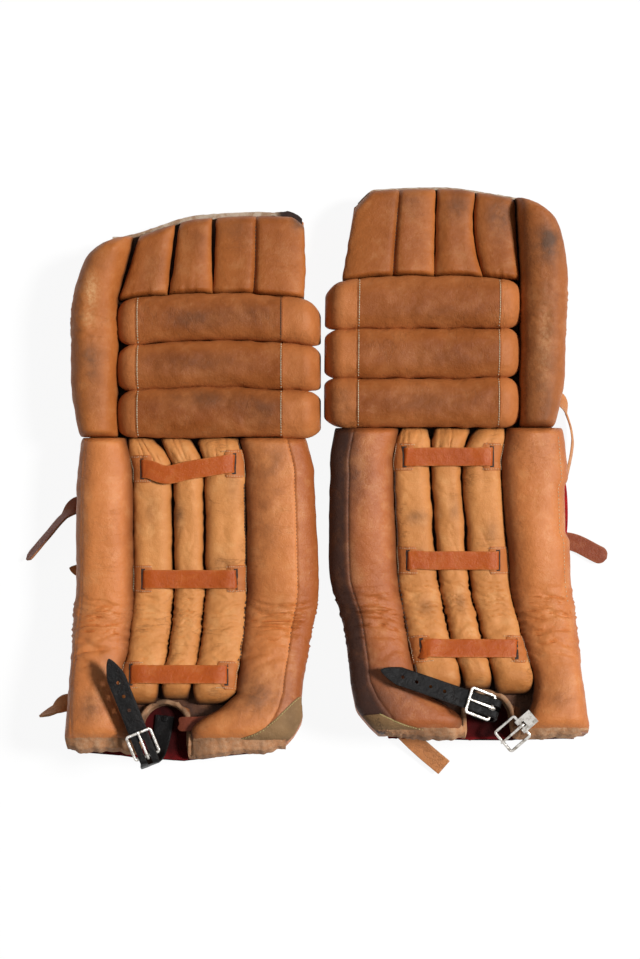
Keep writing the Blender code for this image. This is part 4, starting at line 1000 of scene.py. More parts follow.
for pad in PADS:
    for i, name in enumerate(("outer", "center", "inner")):
        seed = 60 + 7 * i + (3 if pad is LEFT else 0)

        def shin_borders(v, i=i, pad=pad):
            splay = (max(0.0, v - SPLAY_START) / (SHIN_LENGTH - SPLAY_START)) ** 2
            sides = []
            for count in (i + 1, i):
                waver = 1.6 * rippled(70 + count + pad.side, v / 38, 0.0) * (0 < count < 3)
                sides.append(pad.roll_border(v, count) + SHIN_SPLAY[pad.name][count] * splay + waver)
            gap = 2.4 * splay + 2.0
            return (sides[0] + gap * (i < 2) + inner_toe_spread(v) * (i == 2), sides[1] - gap * (i > 0))

        roll = Roll(pad, (SHIN_TOES[name], SHIN_LENGTH - SEAM_GAP / 2), shin_borders,
                    lambda v: SHIN_ROLL_RISE, SHIN_SHAPE, SHIN_ENDS)
        roll.dents = [lumpy(seed, 45, 1.3), creased(seed, 115, 215, 45, 10, 2.0, 0.5),
                      creased(seed + 2, 60, SHIN_LENGTH, 5, 22, 0.9, 0.6),
                      puckered(seed, 60, SHIN_LENGTH, 5, 12, 1.4),
                      creased(seed + 4, 420, SHIN_LENGTH, 20, 26, 2.2, 2.2)]
        roll.reach = 0.28
        roll.smudges = SHIN_SMUDGES[pad.name, name]
        # Painted shade: darker towards the edges, a little darker on the right pad, and dark at the toe ends
        # by the arch.
        roll.tints_and_shades = [shaded(0.18 * (pad is RIGHT), 0.45, 4),
                      lambda across, v: 0.9 * max(0.0, 1 - (v - 54) / 45) ** 1.5]
        SHIN_ROLLS[pad.name, name] = roll
        roll.dress(f"shin_roll_{name}", PALE_LEATHER, "shin", "pale_leather", 0.75)


# The knee rolls. Three stuffed tubes lie across the knee. A browner panel is sewn round the middle of each,
# with a row of pale stitches at both its ends. A dark gusset closes the fold below them.
KNEE_ROLL_RISE = 60
KNEE_SHAPE = (0.52, 0.72)
KNEE_ENDS = ((24, 0.66, 0.25), (28, 0.36, 0.30))
KNEE_CORNERS = {"left": (6, 15), "right": (6, 8)}
KNEE_CORNER_START = 138
KNEE_BOWS = {"left": (0, 5, 5, 5), "right": (0, 0, 0.5, 6)}
KNEE_PANEL_ENDS = {"left": (-120, 82), "right": (-128, 70)}
KNEE_BROWN = (0.44, 0.146, 0.042, 1)
KNEE_DEEP = (0.185, 0.045, 0.006, 1)
KNEE_PALE = (0.62, 0.32, 0.14, 1)
KNEE_LEATHER = worn_leather("knee_leather_worn", KNEE_BROWN, KNEE_DEEP, KNEE_PALE, (1.7, 0.5, 1), 0.25,
                            0.46, 0.16, blotch=0.07)
KNEE_GUSSET = worn_leather("gusset_leather", (0.050, 0.016, 0.007, 1), (0.018, 0.006, 0.003, 1),
                           (0.11, 0.045, 0.02, 1), (1, 1, 1))
KNEE_SMUDGES = {
    ("left", "bottom"): [spot(-10, 497, 55, 14, 0.45), spot(-90, 480, 30, 22, 0.40)],
    ("left", "middle"): [spot(0, 545, 70, 16, 0.30)],
    ("left", "top"): [spot(0, 606, 36, 14, 0.45), spot(-70, 612, 36, 15, 0.30)],
    ("right", "bottom"): [spot(-30, 480, 60, 18, 0.22), spot(-150, 470, 16, 30, 0.4)],
    ("right", "middle"): [spot(-20, 540, 70, 15, 0.16)],
    ("right", "top"): [spot(-20, 600, 70, 14, 0.16)]}
KNEE_ROLLS = {}


def paneled(ends, height):
    """The step up on to a panel sewn round a roll."""
    return lambda across, place: height * (ends[0] < place < ends[1])


def knee_bow(pad, joint, u):
    """How far a joint between the knee rolls bows towards the thigh."""
    waver = 2.2 * rippled(150 + 3 * joint + pad.side, u / 40, 0.0) * (joint > 0)
    return KNEE_BOWS[pad.name][joint] * (1 - 1.5 * ((u + 30) / 140) ** 2) + waver


for pad in PADS:
    for i, name in enumerate(("bottom", "middle", "top")):
        seed = 90 + 5 * i + (2 if pad is LEFT else 0)

        def knee_borders(u, i=i, pad=pad):
            low = SHIN_LENGTH + i * pad.knee_roll_width
            near = max(0.0, (-u - KNEE_CORNER_START) / (KNEE_INNER_END - KNEE_CORNER_START)) ** 2
            first, last = [near * corner for corner in KNEE_CORNERS[pad.name]]
            return (low + knee_bow(pad, i, u) + first * (i == 0),
                    low + pad.knee_roll_width + knee_bow(pad, i + 1, u) - last * (i == 2))

        roll = Roll(pad, (-KNEE_INNER_END, pad.knee_outer_end + 4), knee_borders,
                    lambda u: KNEE_ROLL_RISE, KNEE_SHAPE, KNEE_ENDS, True)
        ends = KNEE_PANEL_ENDS[pad.name]
        roll.extra_places = tuple(end + shift for end in ends for shift in (-0.3, 0.3))
        roll.dents = [lumpy(seed, 60, 1.5), paneled(ends, 0.9), creased(seed, -160, 100, 10, 40, 0.9, 0.5),
                      puckered(seed, -170, 110, 5, 16, 1.6), lumpy(seed + 1, 22, 0.9)]
        roll.reach = 0.07
        roll.tints_and_shades = [lambda across, u, ends=ends:
                      (0.14 + 0.70 * (ends[0] < u < ends[1])) * (1 - 0.8 * abs(across) ** 4)]
        roll.smudges = KNEE_SMUDGES[pad.name, name]
        KNEE_ROLLS[pad.name, name] = roll
        roll.dress(f"knee_roll_{name}", KNEE_LEATHER, "thigh", "brown_leather", 0.8)
    rings = []
    gusset_start = inner_edge(SHIN_LENGTH) + 8
    gusset_length = outer_edge(SHIN_LENGTH) - inner_edge(SHIN_LENGTH) - 20
    for step in range(61):
        u = gusset_start + gusset_length * step / 60
        sag = 0.6 * rippled(49, u / 12, 0.0)
        corners = [Vector((u, SHIN_LENGTH + reach, BACK_HEIGHT + lift + sag * (lift > 1)))
                   for reach, lift in ((-9, 0.3), (9, 0.3), (9, 1.4), (0, 2.6), (-9, 1.4))]
        rings.append([pad.place(*at) for at in rounded_ring(corners, 0.5, 2, (5, 1, 3, 3, 1))])
    gusset = add_piece(f"{pad.name}_knee_gusset", lofted(rings), KNEE_GUSSET, None)
    pad.place(0, SHIN_LENGTH - 4, BACK_HEIGHT) * MM
    pad.place(0, SHIN_LENGTH + 4, BACK_HEIGHT) * MM
    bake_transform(gusset)


# The thigh rolls and the upper outer roll. Flatter stuffed tubes fan out above the knee, parted by slits;
# the inner one has a sewn channel. The outer roll runs beside knee and thigh.
UPPER_ROLL_RISE = 66
UPPER_SHAPE = (0.40, 0.80)
UPPER_ENDS = ((9, 0.94, 0.6), (26, 0.66, 0.15))
THIGH_SHAPE = (0.50, 0.62)
THIGH_ENDS = ((8, 0.98, 0.62), (14, 0.96, 0.40))
THIGH_ROLL_RISES = (44, 30)
THIGH_GAPS = {"left": 5.0, "right": 2.5}
CHANNEL_DEPTH = 0.20
CHANNEL_PLACE = 0.1
CHANNEL_SPREAD = 0.055
# A darker copy of the tan leather: partly painted shade, as the light falls off towards the pads' tops.
UPPER_LEATHER_SHADED = worn_leather("upper_leather_worn", (0.42, 0.130, 0.028, 1), (0.215, 0.056, 0.009, 1),
                             (0.55, 0.29, 0.125, 1), (0.5, 1.6, 1), 0.2, blotch=0.12)
UPPER_SMUDGES = {
    ("left", "roll"): [spot(143, 552, 15, 26, 0.6), spot(140, 500, 16, 40, 0.25),
                       spot(135, 690, 20, 20, 0.25)],
    ("right", "roll"): [spot(132, 697, 19, 26, 0.75), spot(126, 560, 30, 160, 0.26),
                        spot(125, 480, 22, 40, 0.2)],
    ("left", "outer"): [spot(60, 680, 18, 26, 0.2)],
    ("left", "middle"): [spot(0, 720, 16, 22, 0.2)],
    ("left", "inner"): [spot(-50, 735, 22, 16, 0.25), spot(-144, 744, 12, 12, 1.0)],
    ("right", "outer"): [spot(68, 738, 22, 30, 0.6)],
    ("right", "middle"): [spot(6, 750, 20, 24, 0.45)],
    ("right", "inner"): [spot(-60, 760, 22, 20, 0.35)]}
UPPER_RUBS = {("left", "roll"): [spot(142, 645, 9, 22, 0.8), spot(146, 606, 8, 10, 0.6)],
              ("right", "roll"): [spot(128, 560, 10, 60, 0.35)]}


def channeled(rise):
    """A sewn channel along a roll."""
    return lambda across, place: -CHANNEL_DEPTH * rise(place) * math.exp(
        -abs((across - CHANNEL_PLACE) / CHANNEL_SPREAD) ** 1.4)


def pleated(seed, low, depth):
    """Fine pleats that fan out from a roll's low end."""
    return lambda across, place: (
        depth * math.exp(-max(0.0, place - low) / 10) * rippled(seed, across * 4.5, 0.0))


UPPER_ROLLS = {}
for pad in PADS:

    def upper_borders(v, pad=pad):
        low = pad.knee_outer_end if v < pad.thigh_start else pad.thigh_border(v, 0)
        bend = 5 * max(0.0, (v - pad.thigh_start) / (pad.thigh_end - pad.thigh_start)) * (pad is RIGHT)
        swell = 4.5 * max(0.0, 1 - (v - SHIN_LENGTH) / 130) - 3 * bell(v, 680, 32)
        return low + bend + 1.0, pad.upper_outer_edge(v) + swell * (pad is LEFT)

    def thigh_rise(v, pad=pad):
        share = (v - pad.thigh_start) / (pad.thigh_end - pad.thigh_start)
        return THIGH_ROLL_RISES[0] + (THIGH_ROLL_RISES[1] - THIGH_ROLL_RISES[0]) * share

    seed = 120 if pad is LEFT else 130
    roll = Roll(pad, (SHIN_LENGTH + SEAM_GAP / 2, pad.outer_top), upper_borders, lambda v: UPPER_ROLL_RISE,
                UPPER_SHAPE, UPPER_ENDS)
    roll.slit_shade_sides = (0.75, 0.15)
    roll.dents = [lumpy(seed, 60, 1.8), creased(seed, 585, 620, 40, 9, 1.3),
                  puckered(seed, SHIN_LENGTH, 740, 5, 14, 1.0)]
    roll.tints_and_shades = [shaded(0.2 if pad is LEFT else 0.55, 0.4)]
    roll.smudges = UPPER_SMUDGES[pad.name, "roll"]
    roll.rubs = UPPER_RUBS[pad.name, "roll"]
    UPPER_ROLLS[pad.name, "roll"] = roll
    roll.dress("outer_roll_upper", UPPER_LEATHER_SHADED, "thigh", "tan_leather", 0.85)
    for i, name in enumerate(("outer", "middle", "inner")):
        middle = (pad.thigh_border(pad.thigh_end, i) + pad.thigh_border(pad.thigh_end, i + 1)) / 2
        start = pad.thigh_start + SEAM_GAP
        margin = 6 if pad is LEFT else 2.5
        end = pad.top(middle) - margin

        def follow(u, v, pad=pad, start=start, end=end, margin=margin):
            low = start + knee_bow(pad, 3, u)
            return low + (v - start) / (end - start) * (pad.top(u) - margin - low)

        def thigh_borders(v, i=i, pad=pad):
            gap = THIGH_GAPS[pad.name] * clamped((v - pad.thigh_start) / 40)
            share = clamped((v - pad.thigh_start) / (pad.thigh_end - pad.thigh_start))
            bends = (5 * share, 8 * (1 - share) ** 3 - 6 * math.sin(math.pi * share), 0, 0)
            low, high = [pad.thigh_border(v, index) + bends[index] * (pad is RIGHT) for index in (i + 1, i)]
            return low + gap * (i < 2) * 0.4, high - gap * 0.6

        roll = Roll(pad, (start, end), thigh_borders, thigh_rise, THIGH_SHAPE, THIGH_ENDS, follow=follow)
        seed += 2
        roll.dents = [lumpy(seed, 50, 1.4), puckered(seed, 640, 800, 5, 12, 1.0), pleated(seed, start, 3.0)]
        if name == "inner":
            roll.dents.append(channeled(thigh_rise))
            roll.lines = (CHANNEL_PLACE,)
            roll.slit_shade_sides = (1.0 if pad is LEFT else 0.4, 1.0)
        roll.reach = 0.12
        roll.tints_and_shades = [shaded(0.76, 0.15, 3)]
        roll.smudges = UPPER_SMUDGES[pad.name, name]
        UPPER_ROLLS[pad.name, name] = roll
        roll.dress(f"thigh_roll_{name}", UPPER_LEATHER_SHADED, "thigh", "tan_leather", 0.7)


# The canvas edges. A strip of grey canvas is folded over the top edge of each thigh's back, and frays
# there. Its inner corner on the left pad is torn.
CANVAS_WIDTHS = {"left": (6, 3), "right": (2.5, 2)}
CANVAS_STEPS = 90
CANVAS_PALE = (0.62, 0.50, 0.38, 1)
CANVAS_STAIN = (0.33, 0.17, 0.08, 1)
CANVAS = Surface("canvas_frayed", 0.9)
threads = {"Vector": CANVAS.at, "Scale": 420, "Distortion": 1.5}
woven = CANVAS.add("TexWave", {"wave_type": "BANDS"}, threads)
stained = CANVAS.noise(70, 5, 0.65)
worn = CANVAS.mix(CANVAS_PALE, CANVAS_STAIN, 0.7 * stained.between(0.42, 0.62) + 0.2 * woven)
CANVAS.colour(CANVAS.mix(worn, GRIME_AND_SHADE, CANVAS.mark("shade_and_grime")))
CANVAS.bump(woven * 0.6 + stained, 0.0008)
for pad in PADS:
    near, far = CANVAS_WIDTHS[pad.name]
    outer = pad.thigh_walls(pad.outer_top - 14)[0] - 12
    inner = pad.thigh_walls(pad.thigh_end)[1] + 2
    rings = []
    dark = []
    for step, u in enumerate(spaced(outer, inner, CANVAS_STEPS)):
        edge = pad.top(u)
        fray = 1.4 * rippled(33 + pad.side, u / 8, 0.0) + 0.8 * rippled(35, u / 3, 0.0)
        torn = window(u, -160, -118, 12) * (pad is LEFT)
        fray *= 1 + 1.5 * torn
        wide = far + (near - far) * math.sin(math.pi * step / CANVAS_STEPS) + fray + 4 * torn
        edge += 1.5 * torn
        corners = [Vector((u, *at)) for at in (
            (edge + 1.4 + 0.5 * fray, BACK_HEIGHT - 6), (edge + 1.6 + 0.5 * fray, BACK_HEIGHT + 2.4),
            (edge - wide, BACK_HEIGHT + 2.8 + 0.6 * fray), (edge - wide, BACK_HEIGHT + 0.4),
            (edge + 0.2, BACK_HEIGHT + 0.4), (edge + 0.2, BACK_HEIGHT - 6))]
        rings.append([pad.place(*at) for at in rounded_ring(corners, 0.9, 2, (2, 4, 1, 3, 2, 1))])
        dark.append([torn] * len(rings[0]))
    pad.add("canvas_edge", lofted(rings, {"shade_and_grime": dark}), CANVAS, "thigh", "tan_leather")


# The front straps. Each passes over the shin rolls and goes down through a slot in a sewn patch at both
# ends. The straps are oiled harness leather with pale cut edges; the left pad's top one is slack.
FRONT_STRAPS = {"left": (89, 249, 401), "right": (111, 261, 404)}
PATCH_REACH = (1, 27)
PATCH_HALF = 19
SLOT_REACH = 14.5
SLOT_HALF = 14.5
PATCH_STITCH = (3.2, 2.3, 0.9, 2.1)
STRAP_RED = (0.36, 0.066, 0.005, 1)
STRAP_DEEP = (0.17, 0.026, 0.006, 1)
STRAP_PALE = (0.56, 0.21, 0.055, 1)
STRAP_LEATHER = worn_leather("strap_leather_worn", STRAP_RED, STRAP_DEEP, STRAP_PALE, (1, 1, 1), 0.25,
                             0.36, 0.2)
PATCH_LEATHER = worn_leather("patch_leather_worn", (0.40, 0.122, 0.028, 1), (0.19, 0.050, 0.013, 1),
                             (0.55, 0.27, 0.12, 1), (1, 1, 1), 0.5, 0.55)
# Painted shadow: a dark sheet laid in each slot where a strap goes down.
SLOT_SHADOW = Surface("slot_dark", 0.9)
SLOT_SHADOW.colour(SLOT_SHADOW.mix((0.012, 0.005, 0.003, 1), (0.035, 0.014, 0.007, 1), SLOT_SHADOW.noise(300).between(0.4, 0.6)))


def strap_path(stations, steps):
    """(point, facing, width) along a smooth curve through stations of the same."""
    points = [Vector(station[0]) for station in stations]
    gaps = [(after - before).length for before, after in zip(points, points[1:])]
    slopes = [(after - before) / gap for before, after, gap in zip(points, points[1:], gaps)]
    tangents = [slopes[0]]
    for i in range(1, len(slopes)):
        tangents.append((slopes[i - 1] * gaps[i] + slopes[i] * gaps[i - 1]) / (gaps[i - 1] + gaps[i]))
    tangents.append(slopes[-1])
    path = []
    for i, gap in enumerate(gaps):
        for step in range(steps):
            t = step / steps
            eased = t * t * (3 - 2 * t)
            point = points[i].lerp(points[i + 1], eased) + gap * t * (1 - t) * (
                (1 - t) * tangents[i] - t * tangents[i + 1])
            facing = stations[i][1].lerp(stations[i + 1][1], t)
            path.append((point, facing, stations[i][2] + (stations[i + 1][2] - stations[i][2]) * t))
    path.append(stations[-1])
    return path


def strap_mesh(stations, steps=6, tip=None, thickness=STRAP_THICKNESS, seed=1):
    """A strap with rounded, pale edges. Its far end is cut square, or rounded or pointed over a length."""
    path = strap_path(stations, steps)
    lengths = [0.0]
    for before, after in zip(path, path[1:]):
        lengths.append(lengths[-1] + (after[0] - before[0]).length)
    rings = []
    edges = []
    for i, (point, facing, width) in enumerate(path):
        tangent = (path[min(i + 1, len(path) - 1)][0] - path[max(i - 1, 0)][0]).normalized()
        across = tangent.cross(facing).normalized()
        out = across.cross(tangent).normalized()
        if tip:
            kind, reach = tip
            near = min(1.0, (lengths[-1] - lengths[i]) / reach)
            share = math.sqrt(1 - (1 - near) ** 2) if kind == "rounded" else near ** 0.6
            width *= max(0.06, share)
        half = width / 2 * (1 + 0.012 * rippled(seed, lengths[i] / 20, 0.0))
        corners = [Vector((half, thickness / 2, 0)), Vector((-half, thickness / 2, 0)),
                   Vector((-half, -thickness / 2, 0)), Vector((half, -thickness / 2, 0))]
        section = rounded_ring(corners, 1.0, 2, (8, 1, 8, 1))
        ring = []
        for x, y, z in section:
            dent = 0.35 * rippled(seed + 2, x / 8, lengths[i] / 8, y)
            ring.append(point + across * x + out * (y + dent))
        rings.append(ring)
        edges.append([0.6 * max(0.0, 1 - (half - abs(x)) / 1.2) for x, y, z in section])
    return lofted(rings, {"scuff": edges})


def laid(roll, acrosses, places, high, low=0.1):
    """A thin sheet on a roll's skin, between shares of its half width that change along it."""
    rings = []
    for place, (first, last) in zip(places, acrosses):
        shares = spaced(first, last, 8)
        top = [roll.on(share, place, high - (high - low) * 0.6 * (step in (0, 8)))
               for step, share in enumerate(shares)]
        rings.append(top + [roll.on(share, place, low) for share in reversed(shares)])
    return lofted(rings)


class Thread:
    """Stitches of one thread, gathered for each body and added at the end as one piece."""

    def __init__(self, name, colour, slot):
        self.name = name
        self.slot = slot
        self.finish = Surface(name, 0.75)
        fibres = self.finish.noise(900, 3)
        shade = tuple(0.45 * part for part in colour[:3])
        self.finish.colour(self.finish.mix(colour, (*shade, 1), fibres.between(0.4, 0.65)))
        self.finish.bump(fibres, 0.0004)
        self.meshes = {}

    def sew(self, body, points, length, thickness, normals):
        """Short stitches at points, each turned to the next one."""
        if body not in self.meshes:
            self.meshes[body] = bmesh.new()
        bm = self.meshes[body]
        for i, (point, normal) in enumerate(zip(points, normals)):
            along = (points[min(i + 1, len(points) - 1)] - points[max(i - 1, 0)]).normalized()
            across = normal.cross(along).normalized()
            turn = Matrix((along * length / 2, across * thickness / 2, normal * thickness / 2)).transposed()
            at = Matrix.Translation(point * MM) @ (turn * MM).to_4x4()
            bmesh.ops.create_uvsphere(bm, u_segments=6, v_segments=4, radius=1, matrix=at)

    def finished(self):
        for body, bm in self.meshes.items():
            add_piece(f"{body}_{self.name}", bm, self.finish, body)


PALE_THREAD = Thread("pale_thread", (0.62, 0.50, 0.33, 1), "pale_leather")
DARK_THREAD = Thread("dark_thread", (0.055, 0.028, 0.014, 1), "brown_leather")
YELLOW_THREAD = Thread("yellow_thread", (0.58, 0.50, 0.20, 1), "pale_leather")


def sew_along(thread, roll, body, stops, pitch, length, thickness, lift=0.3):
    """Stitches on a roll through stops of (share of the half width, place)."""
    walk = []
    for (across, place), (next_across, next_place) in zip(stops, stops[1:]):
        gap = (roll.on(next_across, next_place) - roll.on(across, place)).length
        count = max(1, round(gap / pitch))
        walk += list(zip(spaced(across, next_across, count), spaced(place, next_place, count)))[:-1]
    walk.append(stops[-1])
    points = [roll.on(*at, lift) for at in walk]
    thread.sew(body, points, length, thickness, [roll.normal(*at) for at in walk])


slack_run = smooth_curve((0, 0), (0.30, -8), (0.50, -2), (0.75, 4), (1, 7))
for pad in PADS:
    for name, level in zip(("bottom", "middle", "top"), FRONT_STRAPS[pad.name]):
        outer, inner = SHIN_ROLLS[pad.name, "outer"], SHIN_ROLLS[pad.name, "inner"]
        slack = name == "top" and pad is LEFT
        stations = []
        for roll, end, turn in ((outer, "outer", 1), (inner, "inner", -1)):
            place = level + slack * slack_run(end == "inner")
            low, high = roll.borders(place)
            edge = high if turn > 0 else low
            patch_places = [place + PATCH_HALF * step / 9 for step in range(-9, 10)]
            acrosses = []
            for step, at in enumerate(patch_places):
                taper = 2.5 * (abs(step - 9) / 9) ** 6
                reach = PATCH_REACH[1] - 8 * (name == "bottom") * max(0.0, (9 - step) / 9)
                acrosses.append((roll.across(edge - turn * (PATCH_REACH[0] + taper), at),
                                 roll.across(edge - turn * (reach - taper), at)))
            pad.add(f"{name}_strap_patch_{end}", laid(roll, acrosses, patch_places, 1.9), PATCH_LEATHER,
                    "shin", "strap_leather")
            near, far = [roll.across(edge - turn * inset, place)
                         for inset in (PATCH_REACH[0] + 2, PATCH_REACH[1] - 2)]
            stops = [(far, place - PATCH_HALF + 2), (near, place - PATCH_HALF + 2),
                     (near, place + PATCH_HALF - 2), (far, place + PATCH_HALF - 2)]
            sew_along(PALE_THREAD, roll, pad.shin, stops, *PATCH_STITCH)
            # A dark sheet of painted shadow marks each slot.
            slot_at = edge - turn * SLOT_REACH
            slot_places = [place + SLOT_HALF * step / 6 for step in range(-6, 7)]
            slots = [(roll.across(slot_at + turn * 2.6, at), roll.across(slot_at - turn * 2.6, at))
                     for at in slot_places]
            pad.add(f"{name}_strap_slot_{end}", laid(roll, slots, slot_places, 2.15, 1.7), SLOT_SHADOW, "shin",
                    "black_leather")
            run = []
            for past_slot, lift, lean in ((0, 0.4, 1.6), (1.5, 2.8, 0.6), (6, 3.9, 0.1)):
                share = roll.across(edge - turn * (SLOT_REACH + past_slot), place)
                leaning = pad.direction(place, (turn * lean, 0, 1))
                run.append((roll.on(share, place, lift), leaning, STRAP_WIDTH))
            stations += run if turn > 0 else run[::-1]
            if turn > 0:
                crown = BACK_HEIGHT + CLEARANCE + SHIN_ROLL_RISE + 2.8
                first = outer.borders(level)[1]
                last = inner.borders(level)[0]
                for share in (0.30, 0.50, 0.72):
                    v = level + slack * slack_run(share)
                    at = pad.place(first + (last - first) * share, v, crown + 3 * slack)
                    stations.append((at, pad.direction(v, (0, 0, 1)), STRAP_WIDTH))
        pad.add(f"front_strap_{name}_leather", strap_mesh(stations, 7, seed=5), STRAP_LEATHER, "shin",
                "strap_leather", f"front_strap_{name}")


# The rear straps. Each is sewn at the inner wall's foot and crosses the channel behind the leg. Most leave
# under the outer wall, where their loose ends show; the right ankle strap hangs past the toe.
KEEPER_PLACE = 257
ROUNDED = ("rounded", 12)
UP = (0, 0, 1)
TILTED = (0.7, 0.6, 0.45)
OUTWARD = (1, 0, 0.2)
LEFT_CALF_TAIL = ((8, 350, 4, UP), (28, 334, 13, TILTED), (54, 304, 14, TILTED), (82, 271, 13, TILTED))
LEFT_ANKLE_TAIL = ((11, 61, 24, UP), (25, 52, 26, (0.2, 0.8, 0.6)), (46, 42, 27, (0.2, 0.9, 0.45)))
RIGHT_KNEE_TAIL = ((9, KNEE_STRAP_PLACE - 2, 8, (0.4, 0.2, 0.9)), (22, KNEE_STRAP_PLACE - 21, 15, OUTWARD))
RIGHT_KNEE_TAIL_ON_SHIN = ((21, SHIN_LENGTH - 15, 22, OUTWARD), (11, SHIN_LENGTH - 53, 26, OUTWARD),
                           (4, SHIN_LENGTH - 77, 26, OUTWARD))
RIGHT_CALF_TAIL = ((14, 283, 4, UP), (50, 266, 8, UP), (64, 259, 9, UP))
RIGHT_ANKLE_RUN = ((20, 62, 0), (44, 50, -4))
RIGHT_ANKLE_TAIL = ((-68, 27, 38), (-50, 4, 20), (-26, -19, 12), (0, -41, 10))
RIGHT_ANKLE_FACINGS = (UP, (-0.35, 0.2, 0.9), (-0.35, 0.2, 0.9), (-0.35, 0.2, 0.9))
REAR_RED = worn_leather("rear_strap_leather", (0.20, 0.045, 0.016, 1), (0.085, 0.018, 0.008, 1),
                        (0.48, 0.22, 0.10, 1), (1, 1, 1), 0.4, 0.45)
REAR_TAN = worn_leather("rear_strap_tan", (0.44, 0.17, 0.058, 1), (0.24, 0.08, 0.026, 1),
                        (0.60, 0.33, 0.16, 1), (1, 1, 1), 0.4, 0.5)


def tail_stations(pad, edge, route):
    return [(pad.place(edge(v) + out, v, w), pad.direction(v, facing), STRAP_WIDTH)
            for out, v, w, facing in route]


right_inside = inner_edge(ANKLE_STRAP_PLACE) + EDGE_INSET + WALL_THICKNESS
right_ankle = [(RIGHT.place(right_inside + run, v, wall_bottom(ANKLE_STRAP_PLACE) + lift),
                RIGHT.direction(0, UP), STRAP_WIDTH) for run, v, lift in RIGHT_ANKLE_RUN]
right_ankle += [(RIGHT.own(point), Vector(facing).normalized(), STRAP_WIDTH)
                for point, facing in zip(RIGHT_ANKLE_TAIL, RIGHT_ANKLE_FACINGS)]
REAR_STRAPS = (
    (LEFT, "knee", KNEE_STRAP_PLACE, [], True, None, REAR_TAN),
    (LEFT, "calf", CALF_STRAP_PLACES["left"], tail_stations(LEFT, outer_edge, LEFT_CALF_TAIL), True,
     ROUNDED, REAR_RED),
    (LEFT, "ankle", ANKLE_STRAP_PLACE, tail_stations(LEFT, outer_edge, LEFT_ANKLE_TAIL), True,
     ("pointed", 14), REAR_TAN),
    (RIGHT, "knee", KNEE_STRAP_PLACE, tail_stations(RIGHT, RIGHT.upper_outer_edge, RIGHT_KNEE_TAIL)
     + tail_stations(RIGHT, outer_edge, RIGHT_KNEE_TAIL_ON_SHIN), True, ROUNDED, REAR_TAN),
    (RIGHT, "calf", CALF_STRAP_PLACES["right"], tail_stations(RIGHT, outer_edge, RIGHT_CALF_TAIL), True,
     ROUNDED, REAR_RED),
    (RIGHT, "ankle", ANKLE_STRAP_PLACE, right_ankle, False, None, REAR_TAN))
for pad, name, v, tail, slotted, tip, finish in REAR_STRAPS:
    walls = pad.thigh_walls if v > SHIN_LENGTH else shin_walls
    outer = walls(v)[0]
    rest = wall_bottom(v) + 2 * CLEARANCE + STRAP_THICKNESS / 2
    edges = (v - STRAP_WIDTH / 2, v + STRAP_WIDTH / 2)
    wall = max(walls(edge)[1] + pad.sway(edge) for edge in edges) - pad.sway(v)
    start = wall + WALL_THICKNESS + 2 * CLEARANCE
    inside = outer - WALL_THICKNESS
    up = pad.direction(v, UP)
    stations = [(pad.place(start, v, rest), up, STRAP_WIDTH)]
    if slotted:
        stations += [(pad.place(u, v, rest), up, STRAP_WIDTH)
                     for u in ((start + inside) / 2, inside - STRAP_WIDTH / 2, outer)]
    pad.add(f"{name}_strap_leather", strap_mesh(stations + tail, 8, tip), finish, f"{name}_strap",
            "strap_leather", f"{name}_strap")

keeper = []
for out, lift in ((-3, 0), (8, 0), (19, 3)):
    at = LEFT.place(outer_edge(KEEPER_PLACE) + out, KEEPER_PLACE + lift, 20 + lift)
    keeper.append((at, LEFT.direction(KEEPER_PLACE, UP), STRAP_WIDTH))
LEFT.add("keeper_tip", strap_mesh(keeper, 6, ("pointed", 22), seed=9), REAR_TAN, "shin", "strap_leather")


# The rear buckles. Nickel frames hang in the channel from leather loops on the outer wall, each with a
# prong on its bar.
FRAME_BAR = 4
FRAME_THICKNESS = 3.5
FRAME_CORNER = 5
FRAME_WIDTH = 38
REAR_FRAME_LENGTH = 26
CHAPE_WIDTH = 18
CHAPE_THICKNESS = 2
CHAPE_DEPTH = 11
CHAPE_HEIGHT = 13
BAR_REACH = math.hypot(FRAME_BAR, FRAME_THICKNESS) / 2 + 0.4
PRONG_THICKNESS = 2.2
NICKEL = Surface("nickel_worn", 0.18, 1)
tarnish = NICKEL.noise(160, 4, 0.6)
scratches = NICKEL.noise(700, 3, 0.6, (1, 6, 1))
NICKEL.colour(NICKEL.mix((0.60, 0.57, 0.53, 1), (0.22, 0.19, 0.15, 1), 0.9 * tarnish.between(0.45, 0.68)))
NICKEL.roughness(0.14 + 0.22 * tarnish + 0.10 * scratches)
NICKEL.bump(scratches, 0.0002)


def hardware_frame(origin, along, facing):
    """A matrix at the origin with local X along a strap and local Z out of its face, in millimetres."""
    along = along.normalized()
    across = facing.cross(along).normalized()
    turn = Matrix((along, across, along.cross(across))).transposed().to_4x4()
    return Matrix.Translation(origin) @ turn


def swept(path, sizes, closed=False):
    """A bar of round section along a path of (point, sideways, out), with half sizes for each."""
    rings = []
    for (point, sideways, out), (half_side, half_out) in zip(path, sizes):
        ring = []
        for step in range(12):
            turn = 2 * math.pi * step / 12
            x = math.cos(turn)
            y = math.sin(turn)
            ring.append(point + sideways * half_side * signed_power(x, 0.75)
                        + out * half_out * signed_power(y, 0.75))
        rings.append(ring)
    return lofted(rings, closed=closed)


def frame_mesh(at, length):
    """A buckle's frame, flat in the matrix's XY and centred on it."""
    turn = at.to_3x3()
    radius = FRAME_CORNER - FRAME_BAR / 2
    path = []
    for quarter in range(4):
        middle = Vector(((length / 2 - FRAME_CORNER) * (1 if quarter in (0, 3) else -1),
                         (FRAME_WIDTH / 2 - FRAME_CORNER) * (1 if quarter in (0, 1) else -1), 0))
        for step in range(7):
            angle = math.pi / 2 * (quarter + step / 6)
            out = Vector((math.cos(angle), math.sin(angle), 0))
            path.append((at @ (middle + radius * out), turn @ out, turn @ Vector((0, 0, 1))))
    return swept(path, [(FRAME_BAR / 2, FRAME_THICKNESS / 2)] * len(path), True)


